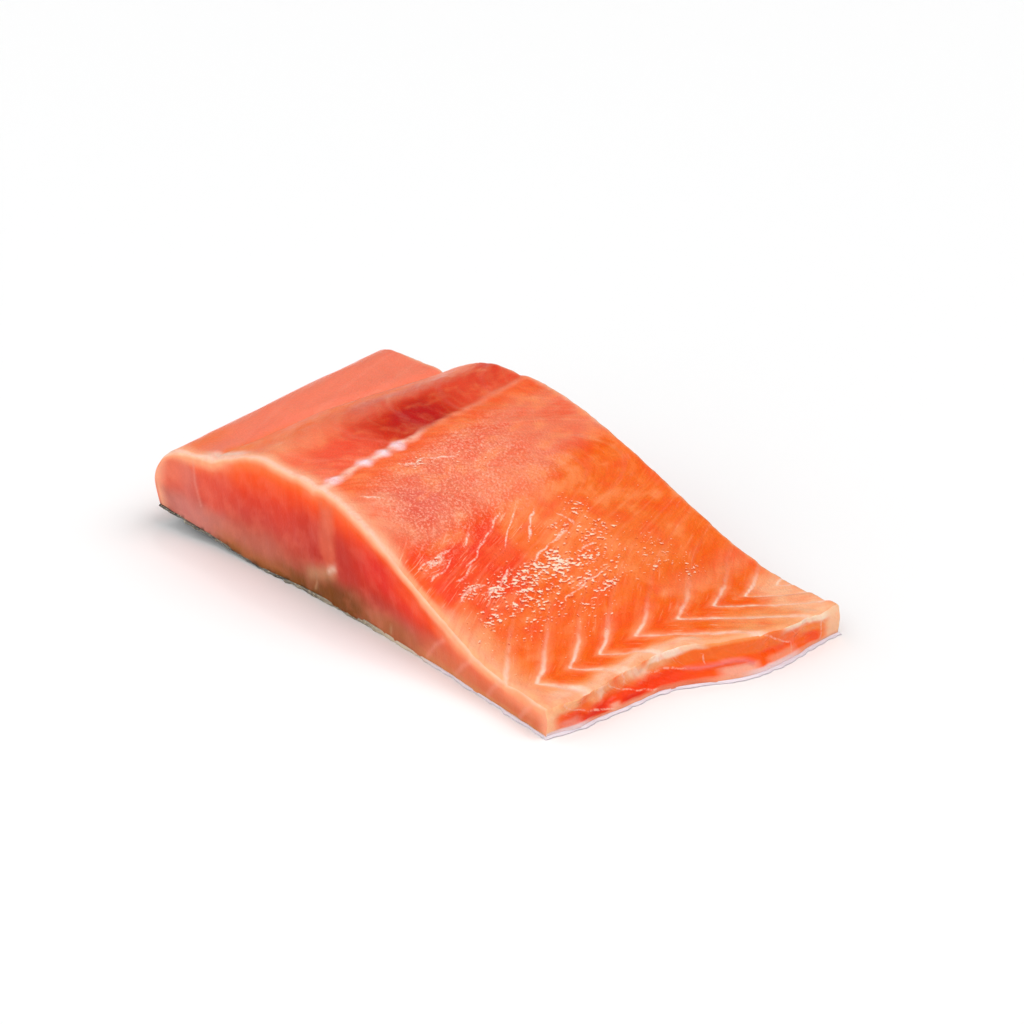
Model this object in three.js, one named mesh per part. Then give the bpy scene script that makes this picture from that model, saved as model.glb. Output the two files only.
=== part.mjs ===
// A thick slab of raw salmon fillet, flesh side up, cut square across the fish at both ends.
//
// It lies on its skin, which lifts off the board towards the back edge. +X runs across the fish from
// the back edge to the belly edge, +Y runs along the fish from the near cut to the far cut, and +Z
// is up. All sizes are in millimetres. The origin is at the centre of the bounding box's base.
//
// The slab is one closed solid with six sides. Each side is a grid of points from one function,
// fleshPoint(across, along, up), where the three fractions run from 0 to 1 over the slab.

import * as THREE from 'three';
import { mergeVertices } from 'three/addons/utils/BufferGeometryUtils.js';

// ---- Driving dimensions ----

const LENGTH = 92; // along the fish, cut to cut

const BACK_EDGE_FLARE = 20; // how far the back edge swings outwards on the way to the far cut
const BELLY_EDGE_NEAR = 160.5; // across the fish at the near cut
const BELLY_EDGE_STEP = 1.6; // first bulge of the wavy belly edge
const BELLY_EDGE_FLARE = 9.2; // second, larger bulge
const BELLY_EDGE_TUCK = 2.6; // how far the edge draws in again before the far cut

const BACK_HEIGHT = 25.2; // flat strip beside the back edge
const CROWN_HEIGHT = 33.6; // thickest part of the loin
const BELLY_HEIGHT = 8.5; // thin flap at the belly edge
const THICKENING = 2.0; // how much thicker the back and the loin are at the far cut
const BELLY_THICKENING = 0.8;
const BELLY_SWELL = 1.9; // the belly edge is thickest halfway along

const STRIP_WIDTH = 23; // back edge to crease
const STRIP_FLARE = 12; // how much wider the strip is at the far cut
const LOIN_RISE_WIDTH = 25; // crease to crown
const CROWN_END = 0.375; // where the top starts to fall, as a share of the width
const BELLY_START = 0.925; // where it has fallen to the belly flap

const BACK_ROUND = 14; // radius of the rounded back edge
const BACK_ROUND_RUN = 12; // how far in from the edge that rounding reaches
const BACK_LEAN = 3.1; // the strip's top starts this far in from the skin's corner
const BACK_BULGE = 3.7; // how far the back wall swells between them
const SKIN_LIFT = 5.6; // height of the skin's back corner above the board
const SKIN_LIFT_RUN = 46; // distance from the back edge to where the skin lies flat
const SKIN_LIFT_POWER = 1.5;

const CREASE_DEPTH = 0.9; // groove between strip and loin, shallower at the near cut
const CREASE_WIDTH = 2.4;
const CREASE_FILL = 1.3; // at the near cut the crease is filled up again by this much
const CREASE_FILL_WIDTH = 5.5;
const CROWN_SINK = 1.0; // at the near cut the loin is lower by this much, beside the septum
const CROWN_SINK_PLACE = 56;
const CROWN_SINK_WIDTH = 11;
const SEPTUM_FROM_BACK = 66.5; // white line of the horizontal septum, from the back edge
const SEPTUM_DEPTH = 0.6;
const SEPTUM_WIDTH = 2.2;

const FLAKE_PITCH = 11.7; // distance between the flakes' chevrons along the fish
const FLAKE_START = 5.3; // first chevron's point, from the near cut
const FLAKE_DEPTH = 0.4; // seams between the flakes
const FLAKE_POINTS = 150.3; // distance of the chevrons' points from the back edge, at the near cut
const FLAKE_SWING = 0.228; // how much farther out they lie for each millimetre along
const FLAKE_BACK_SLOPE = 0.85; // slant of the arm that runs towards the back
const FLAKE_BACK_JUMP = 3.4; // how far that arm runs ahead, close to its point
const FLAKE_BACK_JUMP_RUN = 3; // how soon it has done so
const FLAKE_BELLY_SLOPE = 1.3; // slant of the arm that runs to the belly edge
const FLAKE_REACH = 56; // the seams fade out this far from the belly edge
const FLAKE_FADE = 30;

const CUT_HOLLOW = 3.9; // how far the near cut curves in between its corners
const CUT_SKEW = 1.5; // the near cut's back corner lies this far in
const CUT_UNDERCUT = 1.2; // how much further in the near cut's foot lies
const FAR_BULGE = 1.5; // how far the far cut curves out

const BELLY_LEAN = 2.6; // the lip of the belly edge lies this far in, halfway along
const BELLY_HOLLOW = 2.2; // depth of the hollow in the belly wall
const BELLY_HOLLOW_END = 0.13; // share of the length where it closes, at each end
const BELLY_FOLD = 0.8; // height of the membrane folds along that hollow
const BELLY_FOLDS = 3;
const BELLY_CORNER_SWELL = 0.5; // the wall swells this far at the cuts

const EDGE_ROUND = 1.2; // the knife's edges are this soft

// ---- Grid, in steps ----

const STRIP_STEPS = 12;
const LOIN_STEPS = 35;
const LENGTH_STEPS = 34;
const HEIGHT_STEPS = 7;
const STRIP_SHARE = 0.22; // share of the across fraction that the strip takes
const WELD = 1e-4;

// ---- Small helpers ----

const { lerp, smoothstep, clamp } = THREE.MathUtils;
const bump = (distance, width) => Math.exp(-((distance / width) ** 2));
const edgeRound = (distance) => EDGE_ROUND * (1 - clamp(distance / EDGE_ROUND, 0, 1)) ** 2 / 2;

// ---- Plan: where the edges lie, by the fraction along the fish ----

const backEdge = (along) => -BACK_EDGE_FLARE * along;

function bellyEdge(along) {
  const firstBulge = BELLY_EDGE_STEP * smoothstep(along, 0, 0.1);
  const secondBulge = BELLY_EDGE_FLARE * smoothstep(along, 0.38, 0.68);
  const tuck = BELLY_EDGE_TUCK * smoothstep(along, 0.72, 1);
  return BELLY_EDGE_NEAR + firstBulge + secondBulge - tuck;
}

const slabWidth = (along) => bellyEdge(along) - backEdge(along);
const creaseFromBack = (along) => STRIP_WIDTH + STRIP_FLARE * smoothstep(along, 0.35, 1.05);

// Distance from the back edge. The crease always falls on the same across fraction.
function fromBack(across, along) {
  const crease = creaseFromBack(along);
  if (across < STRIP_SHARE) {
    return crease * (across / STRIP_SHARE);
  }
  return lerp(crease, slabWidth(along), (across - STRIP_SHARE) / (1 - STRIP_SHARE));
}

function fromNearCut(across, along) {
  const bow = Math.sin(Math.PI * across);
  const near = CUT_SKEW * (1 - across) + CUT_HOLLOW * bow;
  return lerp(near, LENGTH + FAR_BULGE * bow, along);
}

// ---- Heights ----

const bellyHeight = (along) =>
  BELLY_HEIGHT + BELLY_THICKENING * along + BELLY_SWELL * Math.sin(Math.PI * along) ** 2;

function stripHeight(distance, along) {
  const overhang = Math.max(BACK_ROUND_RUN - distance, 0);
  const drop = BACK_ROUND - Math.sqrt(Math.max(BACK_ROUND ** 2 - overhang ** 2, 1));
  return BACK_HEIGHT + THICKENING * along - drop;
}

function loinHeight(distance, along) {
  const crease = creaseFromBack(along);
  const floor = BACK_HEIGHT + THICKENING * along;
  const crown = CROWN_HEIGHT + THICKENING * along;
  const climb = clamp((distance - crease) / LOIN_RISE_WIDTH, 0, 1);
  const risen = lerp(floor, crown, Math.sin((Math.PI / 2) * climb));
  const width = slabWidth(along);
  const fallen = smoothstep(distance, CROWN_END * width, BELLY_START * width);
  return lerp(risen, bellyHeight(along), fallen);
}

// Shallow seams between the flakes: chevrons whose points face the near cut.
function flakeSeams(distance, along) {
  const fromBelly = slabWidth(along) - distance;
  const inward = FLAKE_POINTS + FLAKE_SWING * LENGTH * along - distance;
  const jump = FLAKE_BACK_JUMP * (1 - Math.exp(-Math.max(inward, 0) / FLAKE_BACK_JUMP_RUN));
  const slant = inward > 0 ? FLAKE_BACK_SLOPE * inward + jump : -FLAKE_BELLY_SLOPE * inward;
  const phase = (LENGTH * along - FLAKE_START - slant) / FLAKE_PITCH;
  const seam = (0.5 + 0.5 * Math.cos(2 * Math.PI * phase)) ** 3;
  const fade = 1 - smoothstep(fromBelly, FLAKE_REACH - FLAKE_FADE, FLAKE_REACH);
  return FLAKE_DEPTH * seam * fade;
}

function topHeight(distance, along) {
  const crease = creaseFromBack(along);
  const plain = distance < crease ? stripHeight(distance, along) : loinHeight(distance, along);
  const creaseDepth = CREASE_DEPTH * smoothstep(along, -0.15, 0.5);
  const creaseGroove = creaseDepth * bump(distance - crease, CREASE_WIDTH);
  const septumGroove = SEPTUM_DEPTH * bump(distance - SEPTUM_FROM_BACK, SEPTUM_WIDTH);
  const atNearCut = 1 - smoothstep(along, 0, 0.3);
  const fill = CREASE_FILL * bump(distance - crease, CREASE_FILL_WIDTH);
  const sink = CROWN_SINK * bump(distance - CROWN_SINK_PLACE, CROWN_SINK_WIDTH);
  const grooves = creaseGroove + septumGroove + flakeSeams(distance, along);
  return plain - grooves + atNearCut * (fill - sink);
}

function skinHeight(distance) {
  return SKIN_LIFT * clamp(1 - distance / SKIN_LIFT_RUN, 0, 1) ** SKIN_LIFT_POWER;
}

// ---- The slab's surface ----

// How far the belly wall lies in from the belly edge: its lip leans in, and the wall is hollow
// with folds in it, except at the two cuts, where it swells a little.
function bellyWallDepth(along, up) {
  const swell = Math.sin(Math.PI * up);
  const opening = smoothstep(along, 0, BELLY_HOLLOW_END);
  const hollow = opening * (1 - smoothstep(along, 1 - BELLY_HOLLOW_END, 1));
  const folds = BELLY_FOLD * Math.sin(Math.PI * (2 * BELLY_FOLDS - 1) * up);
  const lipLean = BELLY_LEAN * Math.sin(Math.PI * along) ** 2 * up;
  return lipLean + swell * lerp(-BELLY_CORNER_SWELL, BELLY_HOLLOW - folds, hollow);
}

function fleshPoint(across, along, up) {
  const distance = fromBack(across, along);
  const top = topHeight(distance + BACK_LEAN * (1 - across), along);
  const bottom = skinHeight(distance);

  // The walls: a swelling back edge, and a hollow, folded belly edge whose lip leans in.
  const swell = Math.sin(Math.PI * up);
  const atBack = 1 - smoothstep(across, 0, 0.1);
  const backLean = BACK_LEAN * (1 - across) * up - BACK_BULGE * swell * atBack;
  const bellyLean = smoothstep(across, 0.95, 1) * bellyWallDepth(along, up);

  // Soft edges: the top edges sink, and the cuts' top edges draw in.
  const toEdge = Math.min(LENGTH * along, LENGTH * (1 - along), slabWidth(along) * (1 - across));
  const drawIn = edgeRound((top - bottom) * (1 - up)) * (1 - 2 * along);
  const undercut = CUT_UNDERCUT * Math.sin(Math.PI * across) * (1 - up) * (1 - along);

  return new THREE.Vector3(
    backEdge(along) + distance + backLean - bellyLean,
    fromNearCut(across, along) + drawIn + undercut,
    lerp(bottom, top, up) - edgeRound(toEdge) * up
  );
}

// ---- Grid stations ----

const evenSteps = (count) => Array.from({ length: count + 1 }, (_, step) => step / count);

// Fractions from 0 to 1 with one short step at each end, so that the soft edge has its own row.
function steppedFractions(count, span) {
  const margin = EDGE_ROUND / span;
  const inner = evenSteps(count - 2).map((fraction) => lerp(margin, 1 - margin, fraction));
  return [0, ...inner, 1];
}

function acrossFractions() {
  const strip = evenSteps(STRIP_STEPS).map((fraction) => fraction * STRIP_SHARE);
  const loin = evenSteps(LOIN_STEPS - 1).slice(1);
  const lastInner = 1 - EDGE_ROUND / slabWidth(0);
  return [...strip, ...loin.map((fraction) => lerp(STRIP_SHARE, lastInner, fraction)), 1];
}

const ACROSS = acrossFractions();
const ALONG = steppedFractions(LENGTH_STEPS, LENGTH);
const UP = steppedFractions(HEIGHT_STEPS, BACK_HEIGHT);

// ---- Mesh building ----

// Adds one side of the slab: a grid over two lists of fractions. With the columns running to the
// right and the rows running up, the side faces the viewer.
function addGrid(corners, columns, rows, pointAt) {
  const points = rows.map((row) => columns.map((column) => pointAt(column, row)));
  for (let row = 1; row < rows.length; row += 1) {
    for (let column = 1; column < columns.length; column += 1) {
      const lowLeft = points[row - 1][column - 1];
      const lowRight = points[row - 1][column];
      const highLeft = points[row][column - 1];
      const highRight = points[row][column];
      corners.push(lowLeft, lowRight, highRight);
      corners.push(lowLeft, highRight, highLeft);
    }
  }
}

function slabGeometry() {
  const reversed = (fractions) => [...fractions].reverse();
  const corners = [];

  addGrid(corners, ACROSS, ALONG, (across, along) => fleshPoint(across, along, 1));
  addGrid(corners, ACROSS, UP, (across, up) => fleshPoint(across, 0, up));
  addGrid(corners, reversed(ACROSS), UP, (across, up) => fleshPoint(across, 1, up));
  addGrid(corners, reversed(ALONG), UP, (along, up) => fleshPoint(0, along, up));
  addGrid(corners, ALONG, UP, (along, up) => fleshPoint(1, along, up));
  addGrid(corners, reversed(ACROSS), ALONG, (across, along) => fleshPoint(across, along, 0));

  const geometry = mergeVertices(new THREE.BufferGeometry().setFromPoints(corners), WELD);
  geometry.computeBoundingBox();
  const { min, max } = geometry.boundingBox;
  geometry.translate(-(min.x + max.x) / 2, -(min.y + max.y) / 2, -min.z);
  geometry.computeVertexNormals();
  return geometry;
}

const rawSalmon = new THREE.MeshStandardMaterial({ color: 0xf0673f, roughness: 0.35, metalness: 0 });

const fillet = new THREE.Mesh(slabGeometry(), rawSalmon);
fillet.name = 'salmon_fillet';

const part = new THREE.Group();
part.add(fillet);

export default part;
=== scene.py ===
"""A raw salmon fillet: one thick slab, flesh side up on its skin, cut square at both ends.

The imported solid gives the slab's outer form. Two pieces dress it: the flesh, with its seams,
creases and folds, and the scaled skin under it. Every shape is worked out in millimetres as whole
numpy arrays, and goes into its mesh in metres.

Three fractions from 0 to 1 place a point on the slab: across, from the back edge to the belly
edge; along, from the near cut to the far cut; and up, from the skin to the top of the flesh.
"""

import logging
import math
from dataclasses import dataclass, field
from enum import Enum
from typing import Any

import bpy
import numpy as np
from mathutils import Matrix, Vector
from numpy.typing import NDArray


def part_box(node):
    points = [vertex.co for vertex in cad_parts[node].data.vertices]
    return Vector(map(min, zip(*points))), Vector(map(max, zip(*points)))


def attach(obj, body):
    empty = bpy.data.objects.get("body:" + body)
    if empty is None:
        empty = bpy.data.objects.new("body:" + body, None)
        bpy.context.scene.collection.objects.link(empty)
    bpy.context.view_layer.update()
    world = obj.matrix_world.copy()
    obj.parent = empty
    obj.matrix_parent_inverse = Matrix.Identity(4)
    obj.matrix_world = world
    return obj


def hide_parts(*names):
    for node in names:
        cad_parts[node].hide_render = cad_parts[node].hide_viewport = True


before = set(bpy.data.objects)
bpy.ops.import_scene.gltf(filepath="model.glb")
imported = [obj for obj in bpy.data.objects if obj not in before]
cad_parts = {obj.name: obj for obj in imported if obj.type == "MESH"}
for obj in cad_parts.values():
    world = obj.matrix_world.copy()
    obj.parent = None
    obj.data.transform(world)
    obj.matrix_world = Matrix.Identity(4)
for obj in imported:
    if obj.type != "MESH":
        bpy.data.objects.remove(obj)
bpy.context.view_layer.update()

Floats = NDArray[np.float64]
Ints = NDArray[np.int64]
Triple = tuple[float, float, float]
Tree = bpy.types.NodeTree
Source = bpy.types.NodeSocket | bpy.types.Node  # what can feed an input of a node

LOG = logging.getLogger("salmon_fillet")
BODY = "root"
NODE = "salmon_fillet"
MM = 0.001  # metres in a millimetre
BAKE_MAP = "OFBake"


# ---- Plain functions ----


def linear(hex_code: str) -> tuple[float, float, float, float]:
    """Turns an sRGB hex colour into linear light.

    Args:
        hex_code: Six hex digits, with or without a leading #.

    Returns:
        Red, green, blue and an alpha of 1.
    """
    digits = hex_code.lstrip("#")
    shares = [int(digits[i : i + 2], 16) / 255 for i in (0, 2, 4)]
    red, green, blue = (c / 12.92 if c <= 0.04045 else ((c + 0.055) / 1.055) ** 2.4 for c in shares)
    return red, green, blue, 1.0


def smoothstep(value: Floats, low: float, high: float) -> Floats:
    """Rises from 0 at low to 1 at high with level ends: 3u^2 - 2u^3."""
    share = np.clip((value - low) / (high - low), 0.0, 1.0)
    return share * share * (3.0 - 2.0 * share)


def falloff(value: Floats, low: float, high: float) -> Floats:
    """Falls from 1 at low to 0 at high with level ends: 1 less the smoothstep."""
    return 1.0 - smoothstep(value, low, high)


def lerp(start: Any, end: Any, share: Any) -> Any:
    """Goes straight from start to end as share goes from 0 to 1."""
    return start + (end - start) * share


def over(colours: Floats, hex_code: str, share: Floats) -> Floats:
    """Lays one colour over each point's own, by the share there."""
    return lerp(colours, np.array(linear(hex_code)), share[:, None])


def deepen(colours: Floats, kept: Triple, share: Floats) -> Floats:
    """Takes red, green and blue down to what is kept of them, by the share at each point."""
    return colours * lerp(1.0, np.array([*kept, 1.0]), share[:, None])


def bump(distance: Floats, width: float) -> Floats:
    """A bell curve of height 1 and that width: e to the minus (distance / width) squared."""
    return np.exp(-((distance / width) ** 2))


def wrap(value: Floats, pitch: float) -> Floats:
    """Distance from the nearest multiple of pitch, below it negative and above it positive."""
    return value - pitch * np.round(value / pitch)


def add(tree: Tree, kind: str, inputs: dict | None = None, **settings: Any) -> bpy.types.Node:
    """Adds one node to a material.

    Args:
        tree: The material's node tree.
        kind: The node's type name, less the ShaderNode that all begin with.
        inputs: For an input's name or number, the socket or the node that feeds it, or its
            value. A node feeds it from its first output.
        **settings: The node's own properties.

    Returns:
        The new node.
    """
    node = tree.nodes.new("ShaderNode" + kind)
    for name, value in settings.items():
        setattr(node, name, value)
    for key, value in (inputs or {}).items():
        source = value.outputs[0] if isinstance(value, bpy.types.Node) else value
        if isinstance(source, bpy.types.NodeSocket):
            tree.links.new(source, node.inputs[key])
        else:
            node.inputs[key].default_value = source
    return node


def bare_material(name: str) -> bpy.types.Material:
    """Makes a material with an empty node tree.

    Args:
        name: Its name.

    Returns:
        The new material.
    """
    made = bpy.data.materials.new(name)
    made.use_nodes = True
    made.node_tree.nodes.clear()
    return made


def show(name: str, data: Any) -> bpy.types.Object:
    """Makes an object and puts it in the scene.

    Args:
        name: Its name.
        data: Its mesh, camera or light.

    Returns:
        The new object, at the origin.
    """
    made = bpy.data.objects.new(name, data)
    bpy.context.scene.collection.objects.link(made)
    return made


# ---- Noise ----


@dataclass(frozen=True)
class Noise:
    """Smooth unevenness from a lattice of seeded random numbers."""

    seed: int
    cell: float  # millimetres between lattice points
    height: float = 1.0  # how far it goes up and down
    octaves: int = 2
    lattice: int = 61
    layer_shift: tuple[float, float] = (17.3, 5.1)  # keeps the finer layers off each other

    def at(self, x: Floats, y: Floats) -> Floats:
        """Blends the four lattice numbers round each point, and adds finer layers at half strength.

        Args:
            x: First coordinate in millimetres.
            y: Second coordinate in millimetres.

        Returns:
            Values between about minus and plus the height.
        """
        x, y = np.broadcast_arrays(np.asarray(x, float), np.asarray(y, float))
        table = np.random.default_rng(self.seed).uniform(-1.0, 1.0, (self.lattice, self.lattice))
        total = np.zeros(x.shape)
        weight = 0.0
        for octave in range(self.octaves):
            scale = 2.0**octave / self.cell
            column = x * scale + self.layer_shift[0] * octave
            row = y * scale + self.layer_shift[1] * octave
            i, j = np.floor(column).astype(int), np.floor(row).astype(int)
            u, v = smoothstep(column - i, 0.0, 1.0), smoothstep(row - j, 0.0, 1.0)
            low = lerp(self.pick(table, i, j), self.pick(table, i + 1, j), u)
            high = lerp(self.pick(table, i, j + 1), self.pick(table, i + 1, j + 1), u)
            total += lerp(low, high, v) * 0.5**octave
            weight += 0.5**octave
        return self.height * (total / weight)

    def pick(self, table: Floats, column: Ints, row: Ints) -> Floats:
        """Reads the lattice, which repeats past its ends."""
        return table[column % self.lattice, row % self.lattice]


# ---- The slab's form ----


@dataclass(frozen=True)
class SlabForm:
    """The slab's outer form, from the same named sizes as its solid. Sizes are millimetres."""

    length: float = 92.0
    back_edge_flare: float = 20.0
    belly_edge_near: float = 160.5
    belly_edge_step: float = 1.6
    belly_edge_flare: float = 9.2
    belly_edge_tuck: float = 2.6
    back_height: float = 25.2
    crown_height: float = 33.6
    belly_height: float = 8.5
    thickening: float = 2.0
    belly_thickening: float = 0.8
    belly_swell: float = 1.9
    strip_width: float = 23.0
    strip_flare: float = 12.0
    strip_share: float = 0.22
    loin_rise_width: float = 25.0
    crown_end: float = 0.375
    belly_start: float = 0.925
    back_round: float = 14.0
    back_round_run: float = 12.0
    back_lean: float = 3.1
    back_bulge: float = 3.7
    skin_lift: float = 5.6
    skin_lift_run: float = 46.0
    skin_lift_power: float = 1.5
    crease_depth: float = 0.9
    crease_width: float = 2.4
    crease_fill: float = 1.3
    crease_fill_width: float = 5.5
    crown_sink: float = 1.0
    crown_sink_place: float = 56.0
    crown_sink_width: float = 11.0
    septum_from_back: float = 66.5
    septum_depth: float = 0.6
    septum_width: float = 2.2
    cut_hollow: float = 3.9
    cut_skew: float = 1.5
    cut_undercut: float = 1.2
    far_bulge: float = 1.5
    belly_lean: float = 2.6
    belly_hollow: float = 2.2
    belly_hollow_end: float = 0.13
    belly_corner_swell: float = 0.5
    edge_round: float = 1.2

    def edge_drop(self, distance: Floats) -> Floats:
        """How far a soft edge falls away, by the distance from it: half a parabola."""
        return self.edge_round * (1.0 - np.clip(distance / self.edge_round, 0.0, 1.0)) ** 2 / 2.0

    def back_edge(self, along: Floats) -> Floats:
        """Where the back edge lies: it swings out in a straight line."""
        return -self.back_edge_flare * along

    def belly_edge(self, along: Floats) -> Floats:
        """Where the belly edge lies: two smooth bulges and a tuck before the far cut.

        Args:
            along: Fraction from the near cut to the far cut.

        Returns:
            Its place across the fish, in millimetres.
        """
        first = self.belly_edge_step * smoothstep(along, 0.0, 0.1)
        second = self.belly_edge_flare * smoothstep(along, 0.38, 0.68)
        tuck = self.belly_edge_tuck * smoothstep(along, 0.72, 1.0)
        return self.belly_edge_near + first + second - tuck

    def width(self, along: Floats) -> Floats:
        """From the back edge to the belly edge."""
        return self.belly_edge(along) - self.back_edge(along)

    def crease(self, along: Floats) -> Floats:
        """From the back edge to the crease beside the flat back strip."""
        return self.strip_width + self.strip_flare * smoothstep(along, 0.35, 1.05)

    def from_back(self, across: Floats, along: Floats) -> Floats:
        """Distance from the back edge. The crease lies on one across fraction all the way.

        Args:
            across: Fraction from the back edge to the belly edge.
            along: Fraction from the near cut to the far cut.

        Returns:
            Millimetres from the back edge.
        """
        crease = self.crease(along)
        outer = crease * across / self.strip_share
        share = (across - self.strip_share) / (1.0 - self.strip_share)
        return np.where(across < self.strip_share, outer, lerp(crease, self.width(along), share))

    def from_near_cut(self, across: Floats, along: Floats) -> Floats:
        """Place along the fish: straight between a hollow near cut and a bulging far cut.

        Args:
            across: Fraction from the back edge to the belly edge.
            along: Fraction from the near cut to the far cut.

        Returns:
            Millimetres from the near cut's corners.
        """
        bow = np.sin(math.pi * across)
        near = self.cut_skew * (1.0 - across) + self.cut_hollow * bow
        return lerp(near, self.length + self.far_bulge * bow, along)

    def belly_top(self, along: Floats) -> Floats:
        """Height of the belly flap: thickest halfway along."""
        swell = self.belly_swell * np.sin(math.pi * along) ** 2
        return self.belly_height + self.belly_thickening * along + swell

    def strip_top(self, distance: Floats, along: Floats) -> Floats:
        """Height of the back strip: level, with a round outer edge.

        Args:
            distance: Millimetres from the back edge.
            along: Fraction from the near cut to the far cut.

        Returns:
            Millimetres above the board.
        """
        overhang = np.maximum(self.back_round_run - distance, 0.0)
        drop = self.back_round - np.sqrt(np.maximum(self.back_round**2 - overhang**2, 1.0))
        return self.back_height + self.thickening * along - drop

    def loin_top(self, distance: Floats, along: Floats) -> Floats:
        """Height from crease to belly: a quarter sine up to the crown, a smoothstep down.

        Args:
            distance: Millimetres from the back edge.
            along: Fraction from the near cut to the far cut.

        Returns:
            Millimetres above the board.
        """
        crown = self.crown_height + self.thickening * along
        floor = self.back_height + self.thickening * along
        climb = np.clip((distance - self.crease(along)) / self.loin_rise_width, 0.0, 1.0)
        risen = lerp(floor, crown, np.sin(math.pi / 2.0 * climb))
        share = distance / self.width(along)
        return lerp(risen, self.belly_top(along), smoothstep(share, self.crown_end, self.belly_start))

    def top(self, distance: Floats, along: Floats) -> Floats:
        """Height of the flesh: strip or loin, less the grooves of the crease and the septum.

        At the near cut the crease is shallower and the loin's crown lower, by two bells that fade
        along the fish.

        Args:
            distance: Millimetres from the back edge.
            along: Fraction from the near cut to the far cut.

        Returns:
            Millimetres above the board.
        """
        crease = self.crease(along)
        strip, loin = self.strip_top(distance, along), self.loin_top(distance, along)
        depth = self.crease_depth * smoothstep(along, -0.15, 0.5)
        groove = depth * bump(distance - crease, self.crease_width)
        septum = self.septum_depth * bump(distance - self.septum_from_back, self.septum_width)
        fill = self.crease_fill * bump(distance - crease, self.crease_fill_width)
        sink = self.crown_sink * bump(distance - self.crown_sink_place, self.crown_sink_width)
        at_cut = falloff(along, 0.0, 0.3)
        return np.where(distance < crease, strip, loin) - groove - septum + at_cut * (fill - sink)

    def skin(self, distance: Floats) -> Floats:
        """Height of the skin's outer face: flat, and lifting towards the back edge."""
        share = np.clip(1.0 - distance / self.skin_lift_run, 0.0, 1.0)
        return self.skin_lift * share**self.skin_lift_power

    def belly_wall(self, along: Floats, up: Floats, folds: Floats) -> Floats:
        """How far in the belly wall lies: a leaning lip over a hollow that closes at the cuts.

        Args:
            along: Fraction from the near cut to the far cut.
            up: Fraction from the skin to the top.
            folds: Height of the folds there, in millimetres.

        Returns:
            Millimetres in from the belly edge.
        """
        swell = np.sin(math.pi * up)
        end = self.belly_hollow_end
        hollow = smoothstep(along, 0.0, end) * falloff(along, 1.0 - end, 1.0)
        lean = self.belly_lean * np.sin(math.pi * along) ** 2 * up
        return lean + swell * lerp(-self.belly_corner_swell, self.belly_hollow, hollow) - folds * hollow

    def place(
        self,
        across: Floats,
        along: Floats,
        up: Floats,
        folds: Floats | float = 0.0,
    ) -> Floats:
        """A point of the slab: across and along give its plan, up blends from skin to top.

        Args:
            across: Fraction from the back edge to the belly edge.
            along: Fraction from the near cut to the far cut.
            up: Fraction from the skin to the top.
            folds: Height of the folds in the belly wall there.

        Returns:
            The points, with x, y and z in the last axis.
        """
        distance = self.from_back(across, along)
        top = self.top(distance + self.back_lean * (1.0 - across), along)
        bottom = self.skin(distance)
        at_back = falloff(across, 0.0, 0.1)
        bulge = self.back_bulge * np.sin(math.pi * up) * at_back
        lean = self.back_lean * (1.0 - across) * up - bulge
        inset = smoothstep(across, 0.95, 1.0) * self.belly_wall(along, up, folds)
        to_cut = self.length * np.minimum(along, 1.0 - along)
        to_edge = np.minimum(to_cut, self.width(along) * (1.0 - across))
        draw_in = self.edge_drop((top - bottom) * (1.0 - up)) * (1.0 - 2.0 * along)
        undercut = self.cut_undercut * np.sin(math.pi * across) * (1.0 - up) * (1.0 - along)
        x = self.back_edge(along) + distance + lean - inset
        y = self.from_near_cut(across, along) + draw_in + undercut
        z = lerp(bottom, top, up) - self.edge_drop(to_edge) * up
        return np.stack([x, y, z], axis=-1)

    def shift_onto(self, low: Vector, high: Vector) -> Floats:
        """The move, in millimetres, that sets this form's box on the solid's box.

        Args:
            low: The solid's lowest corner, in metres.
            high: The solid's highest corner, in metres.

        Returns:
            The move along x, y and z.
        """
        steps = np.linspace(0.0, 1.0, 81)
        across, along, up = np.meshgrid(steps, steps, np.linspace(0.0, 1.0, 9), indexing="ij")
        points = self.place(across, along, up).reshape(-1, 3)
        own_low, own_high = points.min(axis=0), points.max(axis=0)
        cad_low, cad_high = np.array(low) / MM, np.array(high) / MM
        shift = (cad_low + cad_high - own_low - own_high) / 2.0
        shift[2] = cad_low[2] - own_low[2]
        return shift


# ---- A closed six-sided grid ----


class Side(Enum):
    """The six sides of a slab, in the order of their material slots."""

    TOP = 0
    NEAR_CUT = 1
    FAR_CUT = 2
    BACK_WALL = 3
    BELLY_WALL = 4
    BASE = 5


# Where each side lies in the bake map: its left, bottom, width and height in the unit square.
BAKE_REGIONS: dict[Side, tuple[float, float, float, float]] = {
    Side.TOP: (0.01, 0.50, 0.98, 0.49),
    Side.NEAR_CUT: (0.01, 0.31, 0.98, 0.18),
    Side.FAR_CUT: (0.01, 0.12, 0.98, 0.18),
    Side.BACK_WALL: (0.01, 0.01, 0.45, 0.10),
    Side.BELLY_WALL: (0.48, 0.01, 0.42, 0.10),
    Side.BASE: (0.91, 0.01, 0.08, 0.10),
}


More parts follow.
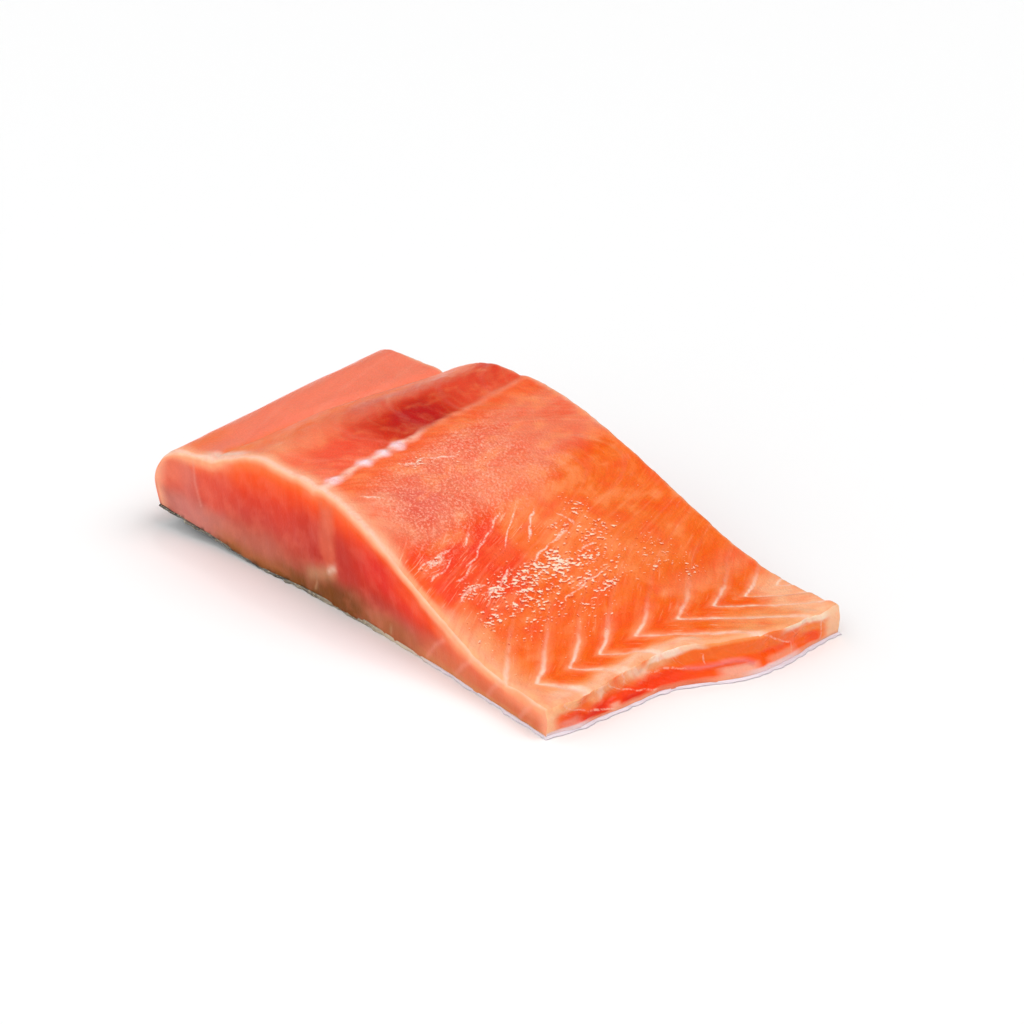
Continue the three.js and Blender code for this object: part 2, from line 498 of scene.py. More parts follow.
@dataclass(frozen=True)
class SlabGrid:
    """A closed grid over the six sides, from one list of fractions for each direction."""

    across: Floats
    along: Floats
    up: Floats

    def side_steps(self, side: Side) -> tuple[Ints, Ints, Ints]:
        """Step numbers of one side's points, with rows upwards and columns to the right outside.

        Args:
            side: Which side.

        Returns:
            Across, along and up step numbers, each as rows by columns.
        """
        i, j, k = np.arange(self.across.size), np.arange(self.along.size), np.arange(self.up.size)
        if side in (Side.TOP, Side.BASE):
            rows, columns = np.meshgrid(j, i if side is Side.TOP else i[::-1], indexing="ij")
            return columns, rows, np.full_like(rows, k[-1] if side is Side.TOP else 0)
        if side in (Side.NEAR_CUT, Side.FAR_CUT):
            rows, columns = np.meshgrid(k, i if side is Side.NEAR_CUT else i[::-1], indexing="ij")
            return columns, np.full_like(rows, 0 if side is Side.NEAR_CUT else j[-1]), rows
        rows, columns = np.meshgrid(k, j if side is Side.BELLY_WALL else j[::-1], indexing="ij")
        return np.full_like(rows, i[-1] if side is Side.BELLY_WALL else 0), columns, rows

    def build(self) -> tuple[Floats, Ints, Ints, Floats]:
        """Joins the six sides, and welds their shared edges by their step numbers.

        Returns:
            The points' three fractions, the quads' corners, each quad's side number, and the
            bake map's two coordinates for each corner.
        """
        keys, sides, maps = [], [], []
        for side in Side:
            i, j, k = self.side_steps(side)
            key = (i * self.along.size + j) * self.up.size + k
            keys.append(self.corners(key).reshape(-1, 4))
            sides.append(np.full(keys[-1].shape[0], side.value))
            maps.append(self.bake_corners(side, i, j, k))
        used, quads = np.unique(np.concatenate(keys), return_inverse=True)
        column, rest = np.divmod(used, self.along.size * self.up.size)
        row, level = np.divmod(rest, self.up.size)
        fractions = np.stack([self.across[column], self.along[row], self.up[level]], axis=-1)
        return fractions, quads.reshape(-1, 4), np.concatenate(sides), np.concatenate(maps)

    def corners(self, values: Floats | Ints) -> Floats | Ints:
        """The values at each cell's four corners, anticlockwise from the low left."""
        low, high = values[:-1], values[1:]
        return np.stack([low[:, :-1], low[:, 1:], high[:, 1:], high[:, :-1]], axis=2)

    def bake_corners(self, side: Side, i: Ints, j: Ints, k: Ints) -> Floats:
        """The bake map of one side: its fractions, laid into its own rectangle.

        Args:
            side: Which side.
            i: Across step numbers.
            j: Along step numbers.
            k: Up step numbers.

        Returns:
            The map's two coordinates at every quad's four corners.
        """
        left, bottom, width, height = BAKE_REGIONS[side]
        across, along, up = self.across[i], self.along[j], self.up[k]
        flat = side in (Side.TOP, Side.BASE)
        right = along if side in (Side.BACK_WALL, Side.BELLY_WALL) else across
        rise = along if flat else up
        right = 1.0 - right if side in (Side.BASE, Side.FAR_CUT, Side.BACK_WALL) else right
        pair = np.stack([left + width * right, bottom + height * rise], axis=-1)
        return self.corners(pair).reshape(-1, 4, 2)


def stations(span: float, pitch: float, soft: float) -> Floats:
    """Fractions from 0 to 1 that are even inside and closer together near both ends.

    Args:
        span: The length that they cover, in millimetres.
        pitch: The even spacing, in millimetres.
        soft: How far from each end the closer spacing reaches, in millimetres.

    Returns:
        The rising fractions.
    """
    near = soft * np.array([0.0, 0.16, 0.34, 0.55, 0.77, 1.0])
    inner = np.linspace(soft, span - soft, max(2, round((span - 2.0 * soft) / pitch) + 1))[1:-1]
    return np.concatenate([near, inner, span - near[::-1]]) / span


# ---- Colour fields ----


class Measure(Enum):
    """What a colour field is laid out by, in millimetres, or as a fraction for UP."""

    FROM_BACK = "from_back"
    FROM_BELLY = "from_belly"
    FROM_CREASE = "from_crease"
    ALONG = "along"
    HEIGHT = "height"
    UP = "up"
    TO_RIM = "to_rim"


@dataclass(frozen=True)
class Span:
    """A stretch of one measure, with soft ends."""

    measure: Measure
    low: float
    high: float
    feather: float


@dataclass(frozen=True)
class Tint:
    """A soft field of one colour, where all its spans meet."""

    colour: str
    strength: float
    wobble: float  # how far noise moves the field's edges, in the spans' own units
    spans: tuple[Span, ...]


def tint(colour: str, strength: float, wobble: float, **spans: Triple) -> Tint:
    """Makes a tint from spans that are named for their measures.

    Args:
        colour: Its colour as hex.
        strength: How much of it shows, from 0 to 1.
        wobble: How far noise moves its edges, in the spans' own units.
        **spans: Low end, high end and feather for each measure. An end past the slab is open.

    Returns:
        The tint.
    """
    named = tuple(Span(Measure(name), *ends) for name, ends in spans.items())
    return Tint(colour, strength, wobble, named)


Measures = dict[Measure, Floats]  # each measure's value at every point


@dataclass(frozen=True)
class Paint:
    """Lays tints over a ground colour, one after the other.

    The colours are those that the eye sees in the studio. What the light and the wet film add is
    taken off again.
    """

    ground: str
    tints: tuple[Tint, ...]
    lit: float = 1.0  # how brightly that side is lit
    veil: float = 0.0  # how much white its wet film adds

    def colours(self, measures: Measures, ragged: Floats) -> Floats:
        """Blends each tint in by the product of its spans' masks.

        Args:
            measures: Each measure's value at each point.
            ragged: Noise of about -1 to 1 at each point, which makes the fields' edges uneven.

        Returns:
            Linear colours with alpha, one row for each point.
        """
        colours = np.tile(np.array(linear(self.ground)), (ragged.size, 1))
        for layer in self.tints:
            mask = np.full(ragged.size, layer.strength)
            for span in layer.spans:
                value = measures[span.measure] + layer.wobble * ragged
                half = span.feather / 2.0
                mask = mask * smoothstep(value, span.low - half, span.low + half)
                mask = mask * falloff(value, span.high - half, span.high + half)
            colours = over(colours, layer.colour, mask)
        bare = np.clip((colours - self.veil) / self.lit, 0.0, 1.0)
        bare[:, 3] = 1.0
        return bare


TOP_PAINT = Paint(ground="#FA8050", lit=1.08, veil=0.02, tints=(
    # The flat back strip and the foot of the slope are an even pale pink.
    tint("#FC866A", 1.0, 1.0, from_crease=(-60, 2, 5)),
    tint("#FE7E44", 0.9, 1.5, from_back=(-9, 10, 10), along=(-9, 18, 16)),
    tint("#FF6C30", 0.8, 1.0, from_back=(-9, 4.5, 6)),
    # Painted light: the lamps reach the slope up from the crease less, so it is painted lighter here
    # than its own colour, to make up for it.
    tint("#FF825A", 1.0, 0.5, from_crease=(-0.5, 13, 4)),
    tint("#FF7A40", 0.8, 2.0, from_crease=(-0.5, 13, 5), along=(-9, 30, 20)),
    tint("#FF8642", 0.8, 2.0, from_crease=(-0.5, 12, 5), along=(-9, 13, 12)),
    # The loin is salmon pink, deep red before the septum, with a golden line along its foot.
    tint("#FF9A70", 0.9, 1.5, from_back=(38, 50, 6), along=(-9, 16, 12)),
    tint("#FC8262", 0.7, 1.5, from_back=(40, 50, 8), along=(12, 30, 10)),
    tint("#F9664A", 1.0, 2.0, from_back=(50, 66, 10)),
    tint("#FE8662", 0.7, 2.0, from_back=(46, 65, 8), along=(-9, 9, 9)),
    # Partly the loin's own deep red before the septum, partly painted shadow.
    tint("#E4482E", 0.8, 3.0, from_back=(48, 66, 11), along=(28, 99, 22)),
    tint("#E67866", 0.85, 3.0, from_back=(38, 49, 10), along=(33, 72, 20)),
    # Darker still: partly its own deep red, partly painted shadow.
    tint("#BC1E04", 0.85, 3.5, from_back=(52, 68, 9), along=(33, 62, 20)),
    tint("#FF6E14", 0.9, 1.2, from_crease=(11, 17, 6), along=(7, 34, 16)),
    tint("#FF8044", 0.8, 1.2, from_crease=(12, 17, 6), along=(33, 62, 16)),
    tint("#FF7400", 0.9, 0.5, from_crease=(12.4, 14.6, 2), along=(5, 72, 16)),
    tint("#FC7240", 1.0, 1.0, from_back=(67, 77, 4)),
    tint("#F78260", 1.0, 3.0, from_back=(76, 103, 9)),
    tint("#FF9C78", 0.8, 2.5, from_back=(79, 91, 7), along=(-9, 16, 9)),
    tint("#FA8C68", 0.7, 2.5, from_back=(95, 102, 6), along=(22, 38, 9)),
    tint("#EC6658", 0.7, 4.0, from_back=(82, 95, 10), along=(15, 29, 12)),
    # The belly is a deep saturated orange, paler at its margins.
    tint("#FA6E24", 1.0, 3.0, from_back=(102, 152, 10)),
    tint("#FA4A00", 1.0, 3.5, from_back=(101, 122, 8), along=(-2, 36, 10)),
    tint("#FC8C62", 0.8, 3.0, from_back=(92, 117, 9), along=(40, 58, 10)),
    tint("#FD8E4E", 0.7, 3.0, from_back=(118, 145, 9), along=(55, 78, 12)),
    tint("#FC7630", 0.8, 4.0, from_back=(106, 143, 12), along=(37, 99, 12)),
    tint("#FA5400", 0.95, 3.0, from_back=(112, 128, 8), along=(6, 30, 7)),
    tint("#FC6A06", 1.0, 3.0, from_belly=(4, 28, 9)),
    tint("#FDA470", 0.9, 2.0, from_back=(120, 180, 9), along=(-9, 7.5, 7)),
    tint("#FDA266", 0.85, 1.5, from_belly=(-9, 6.0, 5), along=(3, 99, 8)),
    tint("#FDC2A0", 0.95, 2.0, from_belly=(-9, 4, 3), along=(-9, 50, 10)),
    tint("#FDA46A", 0.8, 2.0, from_belly=(-9, 14, 9), along=(58, 99, 12)),
    tint("#FDC29A", 0.9, 2.0, from_belly=(-9, 22, 9), along=(80, 99, 9)),
    # Both cut ends are pale, most of all on the fascia beside the crease, and so are the rims:
    # painted highlight, where light catches and glows through the rounded edges.
    tint("#FFAC84", 0.9, 1.4, along=(-9, 3.2, 4)),
    tint("#FF5600", 0.9, 1.4, along=(-9, 9.0, 5), from_back=(98, 116, 7)),
    tint("#FFD4C2", 0.95, 1.5, from_crease=(-4, 13, 7), along=(-9, 3.8, 5)),
    # Painted highlight: pale bands along the rounded rims.
    tint("#FEB696", 0.9, 1.2, to_rim=(-2, 1.4, 2.6), from_back=(16, 100, 14)),
    tint("#FFCDB4", 0.85, 0.8, to_rim=(-2, 0.7, 1.2), from_back=(-9, 100, 20)),
    tint("#FDB280", 0.85, 0.8, to_rim=(-2, 1.0, 1.8), from_back=(100, 190, 20)),
))

CUT_PAINT = Paint(ground="#CE4A3E", lit=0.93, veil=0.025, tints=(
    tint("#E4442A", 0.9, 0.06, up=(0.58, 1.4, 0.3)),
    tint("#F85A26", 1.0, 0.06, up=(0.76, 1.4, 0.26)),
    tint("#FD8048", 0.8, 0.03, up=(0.9, 1.4, 0.14)),
    tint("#BE5E4C", 0.9, 0.06, up=(-0.6, 0.36, 0.3)),
    tint("#B2644E", 0.9, 0.05, up=(-0.6, 0.2, 0.2)),
    # The back end is pinker and paler, with a lilac band that slants down from it.
    tint("#E25E4A", 0.7, 0.5, from_back=(-9, 30, 9), up=(0.3, 0.9, 0.4)),
    tint("#FA8058", 0.85, 0.04, from_back=(-9, 30, 9), up=(0.84, 1.4, 0.2)),
    tint("#EC7E62", 0.7, 0.4, from_back=(-9, 9, 9), up=(0.3, 1.4, 0.3)),
    tint("#C8766A", 0.8, 0.06, from_back=(-9, 14, 9), up=(-0.5, 0.3, 0.3)),
    tint("#D2867C", 0.75, 0.06, from_back=(7, 27, 8), up=(-0.4, 0.3, 0.3)),
    tint("#D87C6E", 0.6, 0.3, from_back=(8, 14, 6), up=(0.1, 0.84, 0.3)),
    tint("#C47260", 0.6, 0.06, from_back=(20, 48, 10), up=(-0.5, 0.3, 0.24)),
    tint("#FCB490", 0.9, 0.4, from_back=(-9, 2.2, 5), up=(-0.5, 1.4, 0.2)),
    # Painted highlight along the rim beside the strip, where light catches the rounded edge.
    tint("#FBA880", 0.85, 1.0, from_back=(9, 27, 8), to_rim=(-2, 2.6, 2.6)),
    # The rounded back wall is pink below and orange where it turns into the strip.
    tint("#F07C5A", 0.85, 0.0, from_back=(-9, 0.8, 0.6), along=(4, 88, 7)),
    tint("#DC7466", 0.7, 0.1, from_back=(-9, 0.8, 0.6), up=(-0.5, 0.4, 0.5)),
    tint("#FC7C46", 0.8, 0.1, from_back=(-9, 0.8, 0.6), up=(0.74, 1.5, 0.4)),
    # The middle is darker, and the belly half a deep orange red.
    tint("#B8342C", 0.7, 0.06, from_back=(58, 98, 16), up=(0.24, 0.7, 0.3)),
    tint("#E03410", 0.9, 0.06, from_back=(84, 112, 16), up=(0.45, 0.86, 0.3)),
    tint("#F25418", 0.8, 0.06, from_back=(98, 122, 12), up=(0.6, 0.96, 0.24)),
    # The belly end is a pale orange-brown.
    tint("#E8744E", 0.85, 2.5, from_belly=(-9, 42, 14)),
    tint("#F2946C", 0.85, 2.5, from_belly=(-9, 18, 18)),
    tint("#D67450", 0.9, 0.06, from_belly=(-9, 50, 16), up=(-0.5, 0.45, 0.4)),
    tint("#D4885A", 0.9, 0.05, from_belly=(-9, 52, 12), up=(-0.5, 0.14, 0.18)),
    tint("#FBA474", 0.9, 0.08, from_belly=(-9, 40, 14), up=(0.7, 1.4, 0.3)),
    # Painted highlight below the rim on this stretch.
    tint("#FBBB94", 0.8, 0.1, from_back=(110, 134, 8), up=(0.84, 1.4, 0.18)),
    # A pale column over a brown wedge, where the spine's tissue was.
    tint("#DE6E52", 0.7, 0.6, from_back=(67, 73, 4), up=(0.36, 0.9, 0.2)),
    tint("#AC6844", 0.8, 1.2, height=(-3, 5.4, 5), from_back=(70, 106, 14)),
    tint("#A06438", 0.9, 1.2, height=(-3, 3.6, 5), from_back=(24, 80, 14)),
    tint("#7A4828", 0.9, 1.4, height=(-3, 8.4, 5), from_back=(60, 86, 12)),
    tint("#80502E", 0.8, 1.4, height=(-3, 4.6, 4), from_back=(50, 80, 12)),
    tint("#74502C", 0.7, 0.8, height=(-3, 1.2, 2.4), from_back=(22, 68, 10)),
    tint("#FBAA86", 0.9, 1.0, from_belly=(-9, 2, 5)),
    # Painted highlight along the top rim, where light catches the rounded edge.
    tint("#FEAE82", 0.9, 1.0, to_rim=(-2, 1.5, 2.2)),
    tint("#FFC8AA", 0.8, 0.6, to_rim=(-2, 0.5, 1.0)),
))

BELLY_PAINT = Paint(ground="#FB5C1E", lit=0.93, veil=0.03, tints=(
    tint("#F44C20", 0.95, 0.06, up=(-0.5, 0.46, 0.2), along=(5, 44, 8)),
    tint("#DC3A16", 0.9, 0.05, up=(0.1, 0.34, 0.14), along=(9, 19, 5)),
    tint("#E03A10", 0.8, 0.04, up=(0.06, 0.24, 0.12), along=(24, 31, 4)),
    tint("#FFB884", 0.9, 0.1, up=(0.6, 1.5, 0.3), along=(-9, 42, 8)),
    tint("#FE7414", 1.0, 0.05, up=(0.5, 1.5, 0.12), along=(41, 71, 5)),
    tint("#FFE4D0", 0.95, 0.04, up=(0.8, 1.5, 0.12), along=(34, 43.5, 4)),
    tint("#FFD4B4", 0.9, 0.04, up=(0.86, 1.5, 0.1), along=(43, 49, 3)),
    tint("#FEA266", 0.8, 0.03, up=(0.92, 1.5, 0.08), along=(48, 70, 5)),
    tint("#FFDEC2", 1.0, 0.06, up=(0.77, 1.5, 0.2), along=(70, 99, 4)),
    tint("#FF9650", 0.7, 0.05, up=(0.44, 0.76, 0.14), along=(76, 88, 4)),
    tint("#F6562C", 0.7, 0.05, up=(0.2, 0.46, 0.14), along=(77, 84, 4)),
    tint("#F2AC94", 0.9, 0.05, up=(0.04, 0.32, 0.1), along=(51.5, 61.5, 4)),
    tint("#F49C7C", 0.8, 0.05, up=(-0.5, 0.3, 0.14), along=(65, 75, 5)),
    tint("#EA9684", 0.7, 0.04, up=(-0.5, 0.34, 0.14), along=(4, 10, 4)),
    tint("#F4B8A0", 0.7, 0.03, up=(0.04, 0.24, 0.08), along=(20, 23, 2)),
    tint("#FABE92", 0.9, 0.8, along=(-9, 3.0, 4)),
    tint("#F6883C", 0.7, 0.5, along=(85, 87.5, 2.5), up=(-0.5, 0.7, 0.2)),
    tint("#FCC49C", 0.9, 0.5, along=(87.5, 101, 3)),
    tint("#EEA284", 0.8, 0.03, up=(-0.5, 0.12, 0.08)),
    tint("#E4785A", 0.8, 0.03, up=(-0.5, 0.14, 0.08), along=(34, 49, 5)),
    tint("#EAD0D2", 0.9, 0.03, up=(-0.5, 0.13, 0.07), along=(-9, 12, 6)),
    tint("#EAD0D2", 0.8, 0.03, up=(-0.5, 0.13, 0.07), along=(58, 75, 7)),
))

SKIN_PAINT = Paint(ground="#9EA4AE", tints=(
    tint("#4C545C", 0.95, 6.0, from_back=(-9, 30, 44)),
    tint("#7E8690", 0.8, 6.0, from_back=(34, 84, 40)),
    tint("#E2DEE6", 0.95, 6.0, from_belly=(-9, 44, 44)),
    tint("#5C5A50", 1.0, 0.4, to_rim=(-2, 1.6, 1.2), from_back=(-9, 58, 14)),
    tint("#8E8066", 0.9, 0.4, to_rim=(-2, 1.6, 1.2), from_back=(56, 98, 14)),
    tint("#D0BCA0", 0.9, 0.4, to_rim=(-2, 1.6, 1.2), from_back=(92, 116, 14)),
    tint("#E0D2DA", 0.9, 0.4, to_rim=(-2, 1.6, 1.2), from_back=(112, 199, 20)),
))


# ---- Flesh finishes ----

State = tuple[Source, Source]  # what carries colour and relief so far

# Inputs that are picked by number. A Map Range node takes VALUE from LOW and HIGH to START and
# END, which are 0 and 1 where they aren't given. A Mix node for colours lays OVER on UNDER by its
# SHARE.
VALUE, LOW, HIGH, START, END = range(5)
SHARE, UNDER, OVER = 0, 6, 7


@dataclass(frozen=True)
class Seam:
    """White connective tissue between muscles, along the zero line of a distance attribute."""

    distance: str  # attribute with the signed distance from the line, in millimetres
    strength: str  # attribute with how much of it shows, from 0 to 1
    half_width: str  # attribute with half its width, in millimetres
    colour: str
    pitch: float = 0.0  # where above 0, the line repeats at this spacing
    wobble: float = 0.6  # millimetres


@dataclass(frozen=True)
class FleshFinish:
    """Raw salmon muscle: moist and slightly see-through, with fine fibre and white seams.

    The eye sees a soft saturated orange with light inside it, a thin wet film with small sharp
    glints, and pale grains of fat where the muscle was torn. The grains are painted bright enough
    to stand for glints as well, with a painted shadow beside each, and the torn granules are
    painted pale as a sheen. The scales are cells of noise for each millimetre. Real muscle fibres
    are 0.1 to 0.3 mm thick, too fine to show, so they are drawn as bundles about 2 mm thick and
    10 mm long.
    """

    name: str
    colour: str  # attribute with the large colour fields
    seams: tuple[Seam, ...] = ()
    seam_waver: float = 0.16  # seams swing sideways every 6 mm
    seam_patches: float = 0.3  # and come and go every 3 mm
    streak_colour: str = "#FFBC98"
    streak_scale: Triple = (1.3, 0.2, 0.2)  # streaks of 0.8 by 5 mm
    torn: bool = False  # whether fat grains and torn granules show, with painted glints, shadow and sheen
    granule_scale: float = 1.3  # granules of 0.8 mm
    speck_mm: Triple = (1.35, 0.66, 1.0)  # length, width and depth of a grain
    speck_slant: float = 55.0  # degrees
    speck_shade: float = 0.4  # millimetres from a grain of fat to the shadow beside it
    strand_colour: str = ""  # where it is given, strands of fat or membrane show
    strand_waver: float = 0.25  # strands swing sideways every 4 mm
    strand_breaks: float = 1.4  # and are broken up every 0.7 mm
    grain_mm: float = 0.6
    grain_share: float = 0.05
    fibre_way: str = "flake_way"  # attribute: across the fibres first, then two along them
    fibre_scale: Triple = (0.45, 0.1, 0.1)
    deep_tone: str = "#FFA06E"  # what the clear fibres multiply the colour by
    deep_share: float = 0.24
    pale_tone: str = "#FFA26E"  # what the milky fibres mix in
    pale_share: float = 0.13
    ior: float = 1.38  # of moist muscle
    roughness: float = 0.36
    dull_scale: float = 0.12  # drier and wetter patches of 8 mm
    gloss: float = 0.4  # specular level
    glow: float = 0.3  # how much light goes under the surface
    glow_mm: float = 2.0  # how deep red light goes
    glow_reach: Triple = (1.0, 0.32, 0.16)  # red, green and blue's share
    film: float = 0.2  # how much of the wet film shows
    film_roughness: float = 0.12
    film_ior: float = 1.33  # of water
    bump_mm: float = 0.11

    def material(self) -> bpy.types.Material:
        """Makes the material.

        Returns:
            The new material.
        """
        made = bare_material(self.name)
        tree = made.node_tree
        place = add(tree, "Attribute", attribute_name="flesh_mm").outputs["Vector"]
        state = self.muscle(tree, place)
        for seam in self.seams:
            state = self.lay(tree, state, self.seam_mask(tree, place, seam), seam.colour, lift=0.3)
        state = self.lay(tree, state, self.streak_mask(tree), self.streak_colour, lift=0.4)
        if self.torn:
            shade = self.granule_mask(tree, place, ends=(0.45, 0.32), most=0.5)
            state = self.lay(tree, state, shade, "#DC4A30", lift=-0.15)
            # Pale granules: painted sheen on the wet, torn muscle.
            torn_sheen = self.granule_mask(tree, place, ends=(0.5, 0.66), most=0.7)
            state = self.lay(tree, state, torn_sheen, "#FFBCA4", lift=0.3)
            # Painted shadow beside each grain.
            shade = self.speck_mask(tree, place, shift=self.speck_shade)
            state = self.lay(tree, state, shade, "#D23C0C", lift=0.0)
            # Painted glints: pale fat grains, painted bright enough to stand for wet glints as well.
            grains = self.speck_mask(tree, place, shift=0.0)
            state = self.lay(tree, state, grains, "#FFE4CC", lift=0.6)
        if self.strand_colour:
            strands = self.strand_mask(tree, place)
            state = self.lay(tree, state, strands, self.strand_colour, lift=0.5)
        self.surface(tree, place, state)
        return made

    def lay(self, tree: Tree, state: State, mask: Source, colour: str, lift: float) -> State:
        """Mixes a colour in by a mask, and lifts the relief there.

        Args:
            tree: The material's node tree.
            state: Colour and relief so far.
            mask: What says where, from 0 to 1.
            colour: The new colour, as hex.
            lift: How much higher the relief is in full strength.

        Returns:
            Colour and relief with the new layer.
        """
        mix = {SHARE: mask, UNDER: state[0], OVER: linear(colour)}
        mixed = add(tree, "Mix", mix, data_type="RGBA")
        raise_by = {0: mask, 1: lift, 2: state[1]}
        raised = add(tree, "Math", raise_by, operation="MULTIPLY_ADD")
        return mixed.outputs[2], raised

    def muscle(self, tree: Tree, place: Source) -> State:
        """The colour fields with fibre and grain in them, and the relief of both.

        Args:
            tree: The material's node tree.
            place: Its coordinates in millimetres.

        Returns:
            Colour and relief.
        """
        fields = add(tree, "Attribute", attribute_name=self.colour).outputs["Color"]
        ways = add(tree, "Attribute", attribute_name=self.fibre_way).outputs["Vector"]
        fibrous = add(tree, "Attribute", attribute_name="fibrous").outputs["Fac"]
        drawn = add(tree, "Mapping", {"Vector": ways, "Scale": self.fibre_scale})
        bundles = {"Vector": drawn, "Scale": 1.0, "Detail": 3.0, "Roughness": 0.6}
        fibre = add(tree, "TexNoise", bundles)
        grains = {"Vector": place, "Scale": 1.0 / self.grain_mm, "Detail": 2.0}
        grain = add(tree, "TexNoise", grains)
        fall = {VALUE: fibre, LOW: 0.54, HIGH: 0.34, END: self.deep_share}
        clear = add(tree, "MapRange", fall)
        deep = add(tree, "Math", {0: clear, 1: fibrous}, operation="MULTIPLY")
        rise = {VALUE: fibre, LOW: 0.5, HIGH: 0.7, END: self.pale_share}
        milky = add(tree, "MapRange", rise)
        pale = add(tree, "Math", {0: milky, 1: fibrous}, operation="MULTIPLY")
        tinted = {SHARE: deep, UNDER: fields, OVER: linear(self.deep_tone)}
        deeper = add(tree, "Mix", tinted, data_type="RGBA", blend_type="MULTIPLY")
        tinted = {SHARE: pale, UNDER: deeper.outputs[2], OVER: linear(self.pale_tone)}
        paler = add(tree, "Mix", tinted, data_type="RGBA")
        darkest, lightest = 1.0 - self.grain_share, 1.0 + self.grain_share
        swing = {VALUE: grain, LOW: 0.32, HIGH: 0.68, START: darkest, END: lightest}
        light = add(tree, "MapRange", swing)
        tone = {"Color": paler.outputs[2], "Value": light}
        relief = add(tree, "Math", {0: fibre, 1: grain})
        return add(tree, "HueSaturation", tone), relief

    def seam_mask(self, tree: Tree, place: Source, seam: Seam) -> Source:
        """One kind of seam, uneven in place and strength.

        Args:
            tree: The material's node tree.
            place: Its coordinates in millimetres.
            seam: The kind of seam.

        Returns:
            The mask.
        """
        distance, strength, width = (
            add(tree, "Attribute", attribute_name=name).outputs["Fac"]
            for name in (seam.distance, seam.strength, seam.half_width)
        )
        swings = {"Vector": place, "Scale": self.seam_waver, "Detail": 1.5}
        waver = add(tree, "TexNoise", swings)
        swing = {VALUE: waver, LOW: 0.25, HIGH: 0.75, START: -seam.wobble, END: seam.wobble}
        offset = add(tree, "MapRange", swing)
        moved = add(tree, "Math", {0: distance, 1: offset})
        if seam.pitch > 0.0:
            ends = {0: moved, 1: seam.pitch / 2.0, 2: -seam.pitch / 2.0}
            moved = add(tree, "Math", ends, operation="WRAP")
        apart = add(tree, "Math", {0: moved}, operation="ABSOLUTE")
        fall = {VALUE: apart, LOW: width, HIGH: 0.05, END: strength}
        line = add(tree, "MapRange", fall, interpolation_type="SMOOTHSTEP")
        patches = {"Vector": place, "Scale": self.seam_patches, "Detail": 3.0}
        patchy = add(tree, "TexNoise", patches)
        rise = {VALUE: patchy, LOW: 0.36, HIGH: 0.54, START: 0.5}
        shown = add(tree, "MapRange", rise)
        return add(tree, "Math", {0: line, 1: shown}, operation="MULTIPLY")

    def strand_mask(self, tree: Tree, place: Source) -> Source:
        """The strands: thin lines along the zero line of their offset, wavering and broken up.

        Args:
            tree: The material's node tree.
            place: Its coordinates in millimetres.

        Returns:
            The mask.
        """
        offset = add(tree, "Attribute", attribute_name="strand_offset").outputs["Fac"]
        near = add(tree, "Attribute", attribute_name="strand_near").outputs["Fac"]
        swings = {"Vector": place, "Scale": self.strand_waver, "Detail": 0.0}
        waver = add(tree, "TexNoise", swings)
        swing = {VALUE: waver, LOW: 0.25, HIGH: 0.75, START: -1.2, END: 1.2}
        aside = add(tree, "MapRange", swing)
        moved = add(tree, "Math", {0: offset, 1: aside})
        apart = add(tree, "Math", {0: moved}, operation="ABSOLUTE")
        fall = {VALUE: apart, LOW: 1.0, HIGH: 0.2, END: 0.75}
        line = add(tree, "MapRange", fall, interpolation_type="SMOOTHSTEP")
        breaks = {"Vector": place, "Scale": self.strand_breaks, "Detail": 3.0}
        broken = add(tree, "TexNoise", breaks)
        rise = {VALUE: broken, LOW: 0.38, HIGH: 0.56, START: 0.1}
        shown = add(tree, "MapRange", rise)
        whole = add(tree, "Math", {0: line, 1: shown}, operation="MULTIPLY")
        return add(tree, "Math", {0: whole, 1: near}, operation="MULTIPLY")

    def streak_mask(self, tree: Tree) -> Source:
        """Fine pale fibres along the grain.

        Args:
            tree: The material's node tree.

        Returns:
            The mask.
        """
        amount = add(tree, "Attribute", attribute_name="streaks").outputs["Fac"]
        ways = add(tree, "Attribute", attribute_name=self.fibre_way).outputs["Vector"]
        drawn = add(tree, "Mapping", {"Vector": ways, "Scale": self.streak_scale})
        noise = add(tree, "TexNoise", {"Vector": drawn, "Scale": 1.0, "Detail": 3.0})
        crisp = add(tree, "MapRange", {VALUE: noise, LOW: 0.58, HIGH: 0.7, END: 0.9})
        return add(tree, "Math", {0: crisp, 1: amount}, operation="MULTIPLY")

    def granule_mask(
        self, tree: Tree, place: Source, ends: tuple[float, float], most: float
    ) -> Source:
        """Fine granules of torn muscle, where noise passes from the first end to the second.

        Args:
            tree: The material's node tree.
            place: Its coordinates in millimetres.
            ends: The noise values at which they start and are full.
            most: The mask's highest value.

        Returns:
            The mask.
        """
        torn_sheen_share = add(tree, "Attribute", attribute_name="torn_sheen").outputs["Fac"]
        granules = {"Vector": place, "Scale": self.granule_scale, "Detail": 3.0, "Roughness": 0.65}
        noise = add(tree, "TexNoise", granules)
        rise = {VALUE: noise, LOW: ends[0], HIGH: ends[1], END: most}
        crisp = add(tree, "MapRange", rise)
        return add(tree, "Math", {0: crisp, 1: torn_sheen_share}, operation="MULTIPLY")

